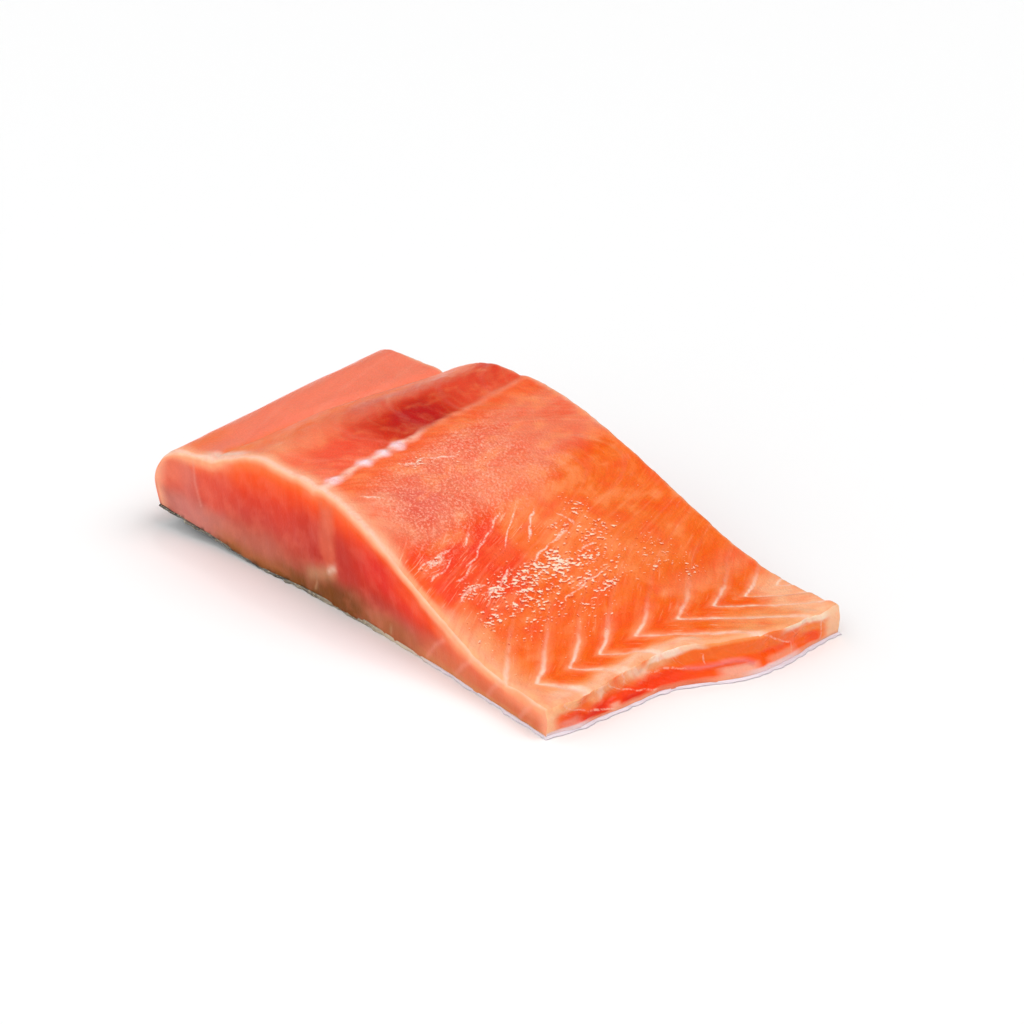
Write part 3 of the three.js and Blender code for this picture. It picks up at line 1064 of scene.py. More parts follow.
    def speck_mask(self, tree: Tree, place: Source, shift: float) -> Source:
        """Short slanting fat grains, painted bright as glints too, more where the speck amount is
        higher.

        Args:
            tree: The material's node tree.
            place: Its coordinates in millimetres.
            shift: How far the pattern is moved, in millimetres, for the grains' shadows.

        Returns:
            The mask.
        """
        amount = add(tree, "Attribute", attribute_name="specks").outputs["Fac"]
        slant = {
            "Vector": place,
            "Location": (shift, -shift, 0.0),
            "Rotation": (0.0, 0.0, math.radians(self.speck_slant)),
            "Scale": self.speck_mm,
        }
        drawn = add(tree, "Mapping", slant, vector_type="TEXTURE")
        noise = add(tree, "TexNoise", {"Vector": drawn, "Scale": 1.0, "Detail": 2.0})
        step = add(tree, "MapRange", {VALUE: amount, START: 0.78, END: 0.47})
        past = add(tree, "Math", {0: noise, 1: step}, operation="SUBTRACT")
        return add(tree, "MapRange", {VALUE: past, HIGH: 0.06, END: 0.9})

    def surface(self, tree: Tree, place: Source, state: State) -> None:
        """Puts colour and relief on a moist, slightly see-through surface.

        Args:
            tree: The material's node tree.
            place: Its coordinates in millimetres.
            state: Colour and relief.
        """
        dull = {"Vector": place, "Scale": self.dull_scale, "Detail": 2.0}
        patches = add(tree, "TexNoise", dull)
        wettest, driest = self.roughness - 0.08, self.roughness + 0.1
        swing = {VALUE: patches, LOW: 0.35, HIGH: 0.65, START: wettest, END: driest}
        relief = add(tree, "Bump", {"Height": state[1], "Distance": self.bump_mm * MM})
        wet = {
            "Base Color": state[0],
            "Roughness": add(tree, "MapRange", swing),
            "Normal": relief,
            "IOR": self.ior,
            "Subsurface Weight": self.glow,
            "Subsurface Radius": self.glow_reach,
            "Subsurface Scale": self.glow_mm * MM,
            "Specular IOR Level": self.gloss,
            "Coat Weight": self.film,
            "Coat Roughness": self.film_roughness,
            "Coat IOR": self.film_ior,
            "Coat Normal": relief,
        }
        flesh = add(tree, "BsdfPrincipled", wet)
        add(tree, "OutputMaterial", {"Surface": flesh})


# ---- Skin finish ----


@dataclass(frozen=True)
class SkinFinish:
    """Salmon skin: wet, silvery overlapping scales over a grey back and a white belly.

    The eye sees lozenges of changing sheen with dark rims, and silver flecks on the cut edge.
    """

    name: str = "wet scaled salmon skin"
    scale_mm: float = 3.0  # spacing of the scales
    scale_squeeze: Triple = (1.25, 0.8, 1.0)  # longer one way than the other
    scale_turn: float = 45.0  # degrees
    scale_unevenness: float = 0.5
    sheen: tuple[float, float] = (0.8, 1.15)  # the dullest and the brightest scale
    rim_shade: float = 0.62  # how light the rim of a scale is
    fleck_mm: float = 1.2  # real flecks are half as wide, too fine to show
    fleck_tone: str = "#C8BC9A"
    roughness: float = 0.32
    film: float = 0.3  # how much of the wet film shows
    film_roughness: float = 0.12
    bump_mm: float = 0.15
    bump_strength: float = 0.8

    def material(self) -> bpy.types.Material:
        """Makes the material.

        Returns:
            The new material.
        """
        made = bare_material(self.name)
        tree = made.node_tree
        place = add(tree, "Attribute", attribute_name="flesh_mm").outputs["Vector"]
        tone = add(tree, "Attribute", attribute_name="skin_colour").outputs["Color"]
        faces = add(tree, "Attribute", attribute_name="scaly").outputs["Fac"]
        edge = add(tree, "Attribute", attribute_name="skin_edge").outputs["Fac"]
        pack = {
            "Vector": place,
            "Rotation": (0.0, 0.0, math.radians(self.scale_turn)),
            "Scale": tuple(1.0 / (part * self.scale_mm) for part in self.scale_squeeze),
        }
        packed = add(tree, "Mapping", pack)
        cell = {"Vector": packed, "Scale": 1.0, "Randomness": self.scale_unevenness}
        scales = add(tree, "TexVoronoi", cell)
        rims = add(tree, "TexVoronoi", cell, feature="DISTANCE_TO_EDGE").outputs["Distance"]
        each = add(tree, "SeparateColor", {0: scales.outputs["Color"]})
        dullest, brightest = self.sheen
        sheen = add(tree, "MapRange", {VALUE: each, START: dullest, END: brightest})
        rise = {VALUE: rims, HIGH: 0.14, START: self.rim_shade}
        line = add(tree, "MapRange", rise)
        scaled = add(tree, "Math", {0: sheen, 1: line}, operation="MULTIPLY")
        light = add(tree, "Mix", {0: faces, 2: 1.0, 3: scaled}, data_type="FLOAT")
        scaly = add(tree, "HueSaturation", {"Color": tone, "Value": light})
        grain = {"Vector": place, "Scale": 1.0 / self.fleck_mm, "Detail": 3.0, "Roughness": 0.7}
        flecks = add(tree, "TexNoise", grain)
        crisp = add(tree, "MapRange", {VALUE: flecks, LOW: 0.54, HIGH: 0.64})
        silver = add(tree, "Math", {0: crisp, 1: edge}, operation="MULTIPLY")
        glint = {SHARE: silver, UNDER: scaly, OVER: linear(self.fleck_tone)}
        colour = add(tree, "Mix", glint, data_type="RGBA").outputs[2]
        lift = {"Height": rims, "Strength": self.bump_strength, "Distance": self.bump_mm * MM}
        wet = {
            "Base Color": colour,
            "Roughness": self.roughness,
            "Normal": add(tree, "Bump", lift),
            "Coat Weight": self.film,
            "Coat Roughness": self.film_roughness,
        }
        skin = add(tree, "BsdfPrincipled", wet)
        add(tree, "OutputMaterial", {"Surface": skin})
        return made


# ---- Mesh making ----


@dataclass
class PieceMesh:
    """A closed mesh on a slab grid, with its attributes."""

    name: str
    grid: SlabGrid
    fractions: Floats = field(init=False)
    quads: Ints = field(init=False)
    sides: Ints = field(init=False)
    bake: Floats = field(init=False)

    def __post_init__(self) -> None:
        """Builds the grid once, for the shape and the attributes alike."""
        self.fractions, self.quads, self.sides, self.bake = self.grid.build()

    def split(self) -> tuple[Floats, Floats, Floats]:
        """The across, along and up fractions of every point."""
        return self.fractions[:, 0], self.fractions[:, 1], self.fractions[:, 2]

    def make(
        self,
        points: Floats,
        materials: list[bpy.types.Material],
        slots: dict[Side, int],
        attributes: dict[str, Floats],
    ) -> bpy.types.Object:
        """Puts points, quads, material slots, bake map and attributes into a new object.

        Args:
            points: Every point in millimetres, in the part's frame.
            materials: The piece's materials.
            slots: For each side, which of the materials it shows.
            attributes: Values at each point: one number, three for a vector or four for a colour.

        Returns:
            The new object, at the origin.
        """
        mesh = bpy.data.meshes.new(self.name)
        mesh.vertices.add(len(points))
        mesh.vertices.foreach_set("co", (points * MM).ravel())
        mesh.loops.add(self.quads.size)
        mesh.loops.foreach_set("vertex_index", self.quads.ravel().astype(np.int32))
        mesh.polygons.add(len(self.quads))
        mesh.polygons.foreach_set("loop_start", np.arange(0, self.quads.size, 4, dtype=np.int32))
        for material in materials:
            mesh.materials.append(material)
        slot_of = np.array([slots[side] for side in Side], dtype=np.int32)
        mesh.polygons.foreach_set("material_index", slot_of[self.sides])
        mesh.polygons.foreach_set("use_smooth", np.ones(len(self.quads), dtype=bool))
        uv_map = mesh.uv_layers.new(name=BAKE_MAP)
        uv_map.data.foreach_set("uv", self.bake.ravel())
        for name, values in attributes.items():
            self.attach(mesh, name, values)
        mesh.update(calc_edges=True)
        mesh.validate()
        return show(self.name, mesh)

    def attach(self, mesh: bpy.types.Mesh, name: str, values: Floats) -> None:
        """Stores one attribute on the points, of the kind that its width asks for.

        Args:
            mesh: The mesh that gets it.
            name: Its name.
            values: A number, vector or colour for each point.
        """
        width = 1 if values.ndim == 1 else values.shape[1]
        kind, slot = {
            1: ("FLOAT", "value"),
            3: ("FLOAT_VECTOR", "vector"),
            4: ("FLOAT_COLOR", "color"),
        }[width]
        layer = mesh.attributes.new(name, kind, "POINT")
        layer.data.foreach_set(slot, values.astype(np.float32).ravel())


# ---- The flesh ----


@dataclass(frozen=True)
class Strand:
    """A pale strand of membrane or fat: a line through a few points of one face."""

    points: tuple[tuple[float, float], ...]  # millimetres on that face
    half_width: float  # millimetres
    ridge: float = 0.0  # how far it stands out, in millimetres

    def offset(self, x: Floats, y: Floats) -> Floats:
        """Signed distance from the line's nearest stretch, in half widths, positive on its left.

        Args:
            x: First coordinate on the face, in millimetres.
            y: Second coordinate on the face, in millimetres.

        Returns:
            The offsets.
        """
        best = np.full(x.shape, 999.0)
        for (x0, y0), (x1, y1) in zip(self.points, self.points[1:]):
            run, rise = x1 - x0, y1 - y0
            share = np.clip(((x - x0) * run + (y - y0) * rise) / (run**2 + rise**2), 0.0, 1.0)
            right, above = x - x0 - share * run, y - y0 - share * rise
            side = np.where(run * above > rise * right, 1.0, -1.0)
            apart = side * np.hypot(right, above) / self.half_width
            best = np.where(np.abs(apart) < np.abs(best), apart, best)
        return best

    def relief(self, x: Floats, y: Floats) -> Floats:
        """The strand's ridge: a bell at least 0.7 mm wide, so that the mesh can carry it."""
        return self.ridge * bump(self.offset(x, y) * self.half_width, max(self.half_width, 0.7))


def strand_cover(strands: tuple[Strand, ...], x: Floats, y: Floats) -> Floats:
    """How much any of the strands covers each point: a bell across each."""
    return bump(nearest_strand(strands, x, y), 1.0)


def nearest_strand(strands: tuple[Strand, ...], x: Floats, y: Floats) -> Floats:
    """Offset from whichever strand is nearest.

    Args:
        strands: The strands of one face.
        x: First coordinate on the face, in millimetres.
        y: Second coordinate on the face, in millimetres.

    Returns:
        The signed offsets, in that strand's half widths.
    """
    offsets = np.stack([strand.offset(x, y) for strand in strands])
    nearest = np.argmin(np.abs(offsets), axis=0)
    return np.take_along_axis(offsets, nearest[None], axis=0)[0]


@dataclass(frozen=True)
class Cluster:
    """A cluster of fat grains on the top, which are painted bright as glints too."""

    from_back: float  # millimetres
    along: float
    half_width: float
    half_length: float
    density: float  # 0 to 1

    def at(self, distance: Floats, y: Floats) -> Floats:
        """How dense its grains lie: a bell in both directions."""
        across = bump(distance - self.from_back, self.half_width)
        return self.density * across * bump(y - self.along, self.half_length)


SPECK_CLUSTERS = tuple(Cluster(*row) for row in (
    (124.4, 32.0, 6.0, 12.0, 1.05),
    (121.4, 21.5, 4.0, 8.0, 1.0),
    (117.3, 12.0, 2.8, 5.5, 0.9),
    (105.2, 9.5, 1.6, 5.0, 0.8),
    (127.7, 11.9, 4.5, 7.0, 0.8),
    (129.2, 19.5, 4.5, 7.0, 0.8),
    (126.5, 40.4, 7.0, 8.0, 1.0),
    (129.5, 48.1, 5.0, 6.0, 0.9),
    (140.2, 45.0, 3.5, 8.0, 0.85),
    (118.5, 49.0, 4.0, 6.0, 0.8),
    (132.1, 27.0, 6.0, 9.0, 0.65),
    (136.6, 17.2, 4.0, 7.0, 0.5),
    (141.2, 66.0, 12.0, 12.0, 0.55),
    (151.8, 70.9, 3.0, 6.0, 0.75),
    (131.0, 36.0, 17.0, 32.0, 0.72),
    (116.0, 58.0, 6.0, 8.0, 0.8),
    (126.0, 58.0, 7.0, 8.0, 0.75),
    (77.0, 30.0, 4.0, 9.0, 0.6),
    (86.0, 44.0, 7.0, 8.0, 0.5),
))

# Streaks of fat in the trimmed top, by distance from the back edge and place along the fish.
TOP_STRANDS = (
    Strand(((104.5, 4.4), (104.5, 9.2), (104.6, 15.3)), 0.55, 0.2),
    Strand(((106.2, 5.9), (105.5, 12.7)), 0.5, 0.15),
    Strand(((108.6, 5.2), (108.3, 10.8), (107.4, 14.6)), 0.4, 0.1),
    Strand(((111.6, 17.8), (110.0, 22.8), (108.1, 27.4), (106.6, 32.3), (104.7, 37.3)), 0.45, 0.2),
    Strand(((106.1, 21.3), (104.5, 24.2)), 0.5, 0.1),
    Strand(((112.9, 11.9), (112.8, 15.7), (112.2, 18.8)), 0.5, 0.1),
    Strand(((118.1, 8.8), (117.2, 13.0), (118.7, 16.4)), 0.6, 0.2),
    Strand(((121.3, 16.3), (120.6, 22.4), (119.0, 26.2)), 0.6, 0.15),
    Strand(((114.2, 40.3), (112.4, 42.6), (110.5, 45.9)), 0.8, 0.25),
    Strand(((112.6, 31.6), (109.8, 36.2), (107.3, 41.1)), 0.4, 0.1),
    Strand(((115.7, 52.2), (119.1, 52.9)), 0.8, 0.2),
    Strand(((119.9, 44.6), (119.9, 49.8)), 0.6, 0.15),
    Strand(((127.1, 49.8), (127.5, 52.9)), 0.5, 0.1),
    Strand(((135.2, 33.8), (135.5, 38.6), (135.6, 44.4), (135.8, 47.7)), 0.4, 0.15),
    Strand(((134.5, 39.6), (135.1, 43.3)), 0.35, 0.1),
    Strand(((121.0, 35.6), (120.3, 39.0), (120.0, 42.3)), 0.6, 0.15),
    # These three, on the torn patch, are pale fibres painted bright as glints too.
    Strand(((74.6, 25.9), (77.9, 30.3)), 0.4, 0.1),
    Strand(((76.9, 31.3), (78.2, 35.2), (82.5, 41.7)), 0.5, 0.1),
    Strand(((78.2, 6.8), (82.4, 10.9)), 0.4, 0.1),
)

# The belly wall, by place along the fish and height: folds that stand out, places where clear
# orange muscle shows, pale patches of its lip, and thin membranes.
BELLY_RIDGES = (
    Strand(((52.0, 4.7), (55.0, 4.9), (58.0, 4.4), (60.2, 3.2)), 0.55, 0.6),
    Strand(((43.6, 4.5), (47.0, 4.1), (50.0, 4.3), (52.0, 4.7)), 0.4, 0.4),
)
BELLY_GLOWS = (
    Strand(((64.5, 10.4), (68.0, 8.8), (72.0, 6.8), (76.6, 5.2), (78.6, 3.4)), 1.6),
    Strand(((43.5, 6.2), (48.0, 6.6), (56.0, 7.4), (62.0, 6.2)), 1.6),
    Strand(((11.4, 10.2), (12.0, 7.0), (12.8, 4.4)), 1.6),
    Strand(((21.4, 10.4), (22.0, 7.6), (22.8, 5.6)), 1.5),
    Strand(((31.0, 10.6), (32.0, 9.0)), 1.1),
)
BELLY_PALES = (
    Strand(((26.0, 10.2), (27.8, 8.0), (30.0, 6.9), (32.5, 6.6)), 1.3),
    Strand(((15.8, 10.0), (17.0, 7.5), (17.8, 5.6)), 1.1),
)
BELLY_STRANDS = (
    Strand(((4.6, 9.0), (6.2, 6.0), (11.4, 3.9), (15.7, 2.6), (20.5, 1.3)), 0.34, 0.16),
    Strand(((14.0, 10.2), (17.1, 7.0), (17.9, 4.9)), 0.4, 0.16),
    Strand(((17.6, 10.2), (21.0, 6.2), (24.8, 4.6), (28.6, 3.0), (33.3, 1.5), (35.4, 1.3)), 0.34, 0.16),
    Strand(((22.4, 10.3), (24.8, 7.6), (25.5, 6.4)), 0.5, 0.2),
    Strand(((27.4, 10.4), (29.6, 7.8), (33.0, 6.2), (37.0, 5.4), (43.6, 4.5)), 0.34, 0.16),
    Strand(((9.4, 9.8), (11.2, 7.2)), 0.4, 0.16),
    Strand(((48.2, 6.9), (48.6, 5.2)), 0.34, 0.1),
    Strand(((63.8, 9.3), (66.7, 7.6), (71.4, 5.3), (73.6, 4.1), (73.3, 2.6)), 0.38, 0.16),
    Strand(((84.6, 9.2), (85.2, 6.0), (84.8, 1.6)), 0.36, 0.16),
)

# The cut faces, by distance from the back edge and height: seams, flecks of the spine's tissue,
# and one pale fleck beside it.
CUT_STRANDS = (
    Strand(((12.6, 20.0), (13.4, 14.0), (16.0, 8.0)), 0.5, 0.04),
    Strand(((112.4, 1.8), (116.0, 6.6), (119.6, 9.5)), 0.7, 0.15),
    Strand(((124.5, 1.8), (127.6, 5.6), (131.7, 9.0)), 0.7, 0.2),
    Strand(((137.8, 2.0), (139.8, 4.8), (142.6, 7.3)), 0.7, 0.2),
    Strand(((150.6, 1.4), (152.6, 4.0), (155.6, 7.0)), 0.6, 0.2),
)
CUT_FLECKS = (
    Strand(((62.6, 6.4), (67.0, 8.0), (71.6, 9.6)), 2.0, -0.1),
    Strand(((64.4, 2.4), (64.9, 4.0)), 0.5, -0.2),
    Strand(((96.6, 2.0), (96.9, 3.8)), 0.5, -0.2),
)
CUT_GLINT = (Strand(((70.6, 10.0), (73.0, 11.4)), 0.9, -0.1),)


@dataclass
class Flesh:
    """The muscle: a closed slab whose six sides share one grid. Sizes are millimetres."""

    form: SlabForm
    shift: Floats
    pitch: float = 0.7
    levels: float = 1.1  # spacing of the rows on the cuts
    soft: float = 1.9
    skin_gap: float = 0.45  # the flesh starts this far above the skin's outer face

    flake_pitch: float = 11.7
    flake_starts: tuple[float, ...] = (5.3, 15.7, 25.4, 37.9, 51.3, 64.0)  # the chevrons' points
    flake_points: float = 150.3  # the points' distance from the back edge, at the near cut
    flake_swing: float = 0.228  # how much farther out they lie for each millimetre along
    flake_reach: float = 62.0
    flake_lift: float = 0.4
    flake_groove: float = 0.25
    flake_groove_width: float = 0.8

    septum_offset_out: float = 0.9  # its line lies this far past the groove's middle
    septum_blob_places: tuple[float, ...] = (5.3, 18.2, 25.9, 32.0)  # along the fish
    septum_blob_width: float = 2.0
    cord_height: float = 0.5  # how far the blobs stand out
    cord_width: float = 1.5

    strip_calm: float = 0.35  # how much of the loin's unevenness the back strip has
    fold_height: float = 1.1  # how far the belly wall's folds stand out on average
    sweep_run: float = 20.0  # how far the wall's membranes are drawn to the near cut at its foot
    sweep_height: float = 3.6

    # Unevenness: its seed, the spacing of its highs and lows, and its height.
    swell: Noise = Noise(3, 24.0, 0.5)
    fibre: Noise = Noise(5, 2.8, 0.16)
    grain: Noise = Noise(7, 1.5, 0.07)
    septum_waver: Noise = Noise(13, 5.0, 0.6)
    torn: Noise = Noise(15, 1.9, 0.2)
    margin: Noise = Noise(17, 4.5, 0.4)
    soft_folds: Noise = Noise(23, 7.0, 0.5)
    wrinkles: Noise = Noise(29, 2.4, 0.25)
    near_cut: tuple[Noise, Noise] = (Noise(31, 15.0, 0.4), Noise(32, 2.4, 0.14))
    far_cut: tuple[Noise, Noise] = (Noise(37, 15.0, 0.4), Noise(38, 2.4, 0.14))
    belly_edge: Noise = Noise(41, 5.0, 0.5, 3)
    back_wall: Noise = Noise(43, 9.0, 0.4)

    # Unevenness of colour, in the same order. Where its height is over 1, it is clipped.
    ragged: Noise = Noise(51, 9.0, 1.0, 3)
    clumps: Noise = Noise(53, 3.2, 1.0, 3)
    mottle: Noise = Noise(59, 3.4, 1.0, 3)
    blotches: Noise = Noise(71, 4.2, 1.0, 3)
    wall_gaps: Noise = Noise(73, 1.9, 1.8)
    grime: Noise = Noise(77, 1.8, 2.4)

    def flake_distance(self, distance: Floats, along: Floats) -> Floats:
        """Signed distance along the fish from the first chevron.

        The chevrons' points lie on a straight line. Towards the back an arm leaves its point
        steeply and flattens, as a falling exponential; past the belly it steepens again and bends
        back before the septum, by a table of slopes. Towards the belly edge it is a parabola.
        Between given points the distance is stretched, so that they come out one pitch apart.

        Args:
            distance: Millimetres from the back edge.
            along: Fraction from the near cut to the far cut.

        Returns:
            The stretched distance, in millimetres.
        """
        y = self.form.length * along
        past = self.flake_points + self.flake_swing * y - distance
        away = np.sqrt(past**2 + 0.16) - 0.4
        steps = np.linspace(0.0, 180.0, 361)
        places, turns = (14, 30, 45, 55, 65, 80, 100, 125), (0, 0.7, 1.4, 0, -1.6, -3, -1, 0)
        slopes = np.interp(steps, places, turns)
        bend = np.interp(away, steps, np.cumsum(slopes) * steps[1])
        back = (0.75 + 0.0034 * y) * away + (2.44 + 0.029 * y) * (1.0 - np.exp(-away / 3.0)) + bend
        belly = (0.7 + 0.018 * y) * away - 0.03 * away**2
        start = y - np.where(past > 0.0, back, belly)
        points = np.array(self.flake_starts)
        even = self.flake_pitch * np.arange(points.size)
        return start + np.interp(start, points, even - points)

    def flake_fade(self, distance: Floats, along: Floats) -> Floats:
        """How much the flakes show: fully at the belly, less and less towards the loin."""
        from_belly = self.form.width(along) - distance
        return falloff(from_belly, 0.3 * self.flake_reach, self.flake_reach)

    def top_relief(self, distance: Floats, along: Floats) -> Floats:
        """Unevenness of the top: swells, flakes that lift at their seams, fibre and grain.

        Args:
            distance: Millimetres from the back edge.
            along: Fraction from the near cut to the far cut.

        Returns:
            Millimetres above the form.
        """
        y = self.form.length * along
        flake = self.flake_distance(distance, along)
        fade = self.flake_fade(distance, along)
        fine = self.swell.at(distance, y) + self.fibre.at(flake, 0.3 * distance)
        fine = fine + self.grain.at(distance, y)
        groove = self.flake_groove * bump(wrap(flake, self.flake_pitch), self.flake_groove_width)
        lift = self.flake_lift * (np.mod(flake, self.flake_pitch) / self.flake_pitch - 0.5)
        cord = self.cord_height * bump(self.septum_offset(distance, y), self.cord_width)
        torn = self.torn.at(distance, 0.6 * y) * self.torn_sheen(distance, y)
        to_edge = self.form.width(along) - distance
        ragged = self.margin.at(distance, y) * falloff(to_edge, 2.0, 9.0)
        strip = self.form.strip_width
        calm = lerp(self.strip_calm, 1.0, smoothstep(distance, strip - 8.0, strip + 4.0))
        strands = sum(strand.relief(distance, y) for strand in TOP_STRANDS)
        uneven = fine * calm - groove * fade + lift * fade + cord * self.septum_blobs(y)
        return uneven + torn + ragged + strands

    def septum_offset(self, distance: Floats, y: Floats) -> Floats:
        """Signed distance from the septum, which wavers a little."""
        line = self.form.septum_from_back + self.septum_offset_out
        return distance - line - self.septum_waver.at(y, 0.0 * y)

    def septum_blobs(self, y: Floats) -> Floats:
        """How far the septum swells into blobs of white tissue: a bell at each."""
        return sum(bump(y - place, self.septum_blob_width) for place in self.septum_blob_places)

    def torn_sheen(self, distance: Floats, y: Floats) -> Floats:
        """Where the torn muscle beside the septum lies, whose granules are painted pale as a sheen."""
        across = smoothstep(distance, 69.0, 78.0) * falloff(distance, 98.0, 112.0)
        return across * smoothstep(y, 3.0, 12.0) * falloff(y, 55.0, 80.0)

    def streaks(self, distance: Floats, y: Floats) -> Floats:
        """Where fine white fibres show: mid slab and, more faintly, among the chevrons.

        Args:
            distance: Millimetres from the back edge.
            y: Millimetres along the fish.

        Returns:
            How much they show, from 0 to 1.
        """
        middle = smoothstep(distance, 90.0, 102.0) * falloff(distance, 118.0, 134.0)
        middle = 0.8 * middle * (1.0 - 0.8 * smoothstep(y, 36.0, 56.0))
        margin = 0.5 * smoothstep(distance - 0.2 * y, 140.0, 158.0)
        faint = 0.25 * smoothstep(distance, 118.0, 134.0)
        return np.maximum(middle, np.maximum(margin, faint))

    def specks(self, distance: Floats, y: Floats) -> Floats:
        """How dense the grains of fat lie: the densest cluster's share."""
        return np.maximum.reduce([cluster.at(distance, y) for cluster in SPECK_CLUSTERS])

    def cut_relief(self, distance: Floats, height: Floats, uneven: tuple[Noise, Noise]) -> Floats:
        """Unevenness of a cut face: slow waves, fibre ends and shallow seams.

        Args:
            distance: Millimetres from the back edge.
            height: Millimetres above the skin.
            uneven: The face's waves and its fibre.

        Returns:
            Millimetres in from the face.
        """
        waves, fibre = uneven
        strands = sum(strand.relief(distance, height) for strand in CUT_STRANDS + CUT_FLECKS)
        return waves.at(distance, height) + fibre.at(distance, 0.5 * height) - strands

    def wall_folds(self, along_mm: Floats, rise: Floats) -> Floats:
        """The belly wall's soft folds, with its ridges and membranes on them.

        Args:
            along_mm: Millimetres along the fish.
            rise: Millimetres above the skin.

        Returns:
            Millimetres out of the wall.
        """
        soft = self.fold_height + self.soft_folds.at(along_mm, 1.6 * rise)
        fine = self.wrinkles.at(along_mm, 2.6 * rise)
        return soft + fine + sum(s.relief(along_mm, rise) for s in BELLY_RIDGES + BELLY_STRANDS)

    def place(self, across: Floats, along: Floats, up: Floats) -> Floats:
        """The flesh's points: the slab's form, raised off the skin, with every relief on it.

        Args:
            across: Fraction from the back edge to the belly edge.
            along: Fraction from the near cut to the far cut.
            up: Fraction from the skin to the top.

        Returns:
            The points in millimetres, in the part's frame.
        """
        form = self.form
        along_mm = form.length * along
        folds = self.wall_folds(along_mm, form.belly_top(along) * up)
        points = form.place(across, along, up, folds * np.sin(math.pi * up) ** 0.6)
        distance = form.from_back(across, along)
        points[:, 2] += self.skin_gap * (1.0 - up) + self.top_relief(distance, along) * up**2
        height = points[:, 2] - form.skin(distance)
        near = self.cut_relief(distance, height, self.near_cut)
        far = self.cut_relief(distance, height, self.far_cut)
        points[:, 1] += near * falloff(along, 0.0, 0.06) - far * smoothstep(along, 0.94, 1.0)
        edge = self.belly_edge.at(along_mm, 9.0 * up) * smoothstep(across, 0.96, 1.0)
        back = self.back_wall.at(along_mm, 20.0 * up) * falloff(across, 0.0, 0.05)
        points[:, 0] += edge - back
        return points + self.shift

    def measures(self, mesh: PieceMesh, points: Floats) -> Measures:
        """Every measure that the colour fields use.

        Args:
            mesh: The flesh's mesh.
            points: Its points in millimetres.

        Returns:
            The measures at every point.
        """
        across, along, up = mesh.split()
        form = self.form
        distance = form.from_back(across, along)
        bottom = form.skin(distance)
        thickness = form.top(distance, along) - bottom
        to_cut = form.length * np.minimum(along, 1.0 - along)
        from_top = thickness * (1.0 - up)
        to_side = np.minimum(to_cut, np.minimum(distance + 4.0, form.width(along) - distance))
        return {
            Measure.FROM_BACK: distance,
            Measure.FROM_BELLY: form.width(along) - distance,
            Measure.FROM_CREASE: distance + form.back_lean * (1.0 - across) - form.crease(along),
            Measure.ALONG: form.length * along,
            Measure.HEIGHT: points[:, 2] - self.shift[2] - bottom,
            Measure.UP: up,
            Measure.TO_RIM: from_top + to_side,
        }

    def top_colour(self, measures: Measures, ragged: Floats, specks: Floats) -> Floats:
        """The top's fields with pale and deep mottling, calm on the back strip.

        Args:
            measures: Every measure at every point.
            ragged: Noise for the fields' edges.
            specks: How dense the grains of fat lie.

        Returns:
            Linear colours with alpha, one row for each point.
        """
        distance, y = measures[Measure.FROM_BACK], measures[Measure.ALONG]
        amount = 0.5 * smoothstep(distance, 38.0, 48.0) + 0.5 * smoothstep(distance, 68.0, 76.0)
        amount = amount * lerp(1.0, 1.3, smoothstep(distance, 94.0, 106.0))
        amount = amount * lerp(1.0, 0.55, smoothstep(distance, 126.0, 144.0))
        mottle = self.mottle.at(distance, 0.6 * y) * amount * smoothstep(y, 0.0, 6.0)
        orange = bump(distance - 116.0, 11.0) * falloff(y, 30.0, 44.0)
        pale = np.clip(1.1 * mottle - 0.14, 0.0, 0.45) * (1.0 - 0.7 * orange) + 0.05 * specks
        top = over(TOP_PAINT.colours(measures, ragged), "#FF985C", np.clip(pale, 0.0, 1.0))
        return deepen(top, (1.0, 0.5, 0.3), np.clip(-1.1 * mottle, 0.0, 0.6))

    def cut_colour(self, measures: Measures, ragged: Floats) -> Floats:
        """The cut faces' fields with seams, flecks, soft blotches and a dark foot.

        Args:
            measures: Every measure at every point.
            ragged: Noise for the fields' edges.

        Returns:
            Linear colours with alpha, one row for each point.
        """
        distance, y = measures[Measure.FROM_BACK], measures[Measure.ALONG]
        height = measures[Measure.HEIGHT]
        cut = CUT_PAINT.colours(measures, ragged)
        cut = over(cut, "#F0A892", 0.3 * strand_cover(CUT_STRANDS, distance, height))
        cut = over(cut, "#C89A70", 0.55 * strand_cover(CUT_FLECKS, distance, height))
        cut = over(cut, "#EED2BC", 0.6 * strand_cover(CUT_GLINT, distance, height))
        blotches = self.blotches.at(distance + 0.5 * height, 1.3 * height)
        cut = over(cut, "#FF8A6C", np.clip(0.4 * blotches, 0.0, 0.12))
        cut = deepen(cut, (0.95, 0.72, 0.72), np.clip(-0.8 * blotches, 0.0, 0.35))
        grime = np.clip(self.grime.at(distance, y), 0.0, 1.0) * falloff(height, 0.5, 2.0)
        return over(cut, "#3E2618", 0.7 * grime * falloff(distance, 84.0, 100.0))

    def sweep(self, y: Floats, height: Floats) -> Floats:
        """Place along the belly wall's membranes: drawn to the near cut by a falling exponential."""
        return y - self.sweep_run * np.exp(-height / self.sweep_height)

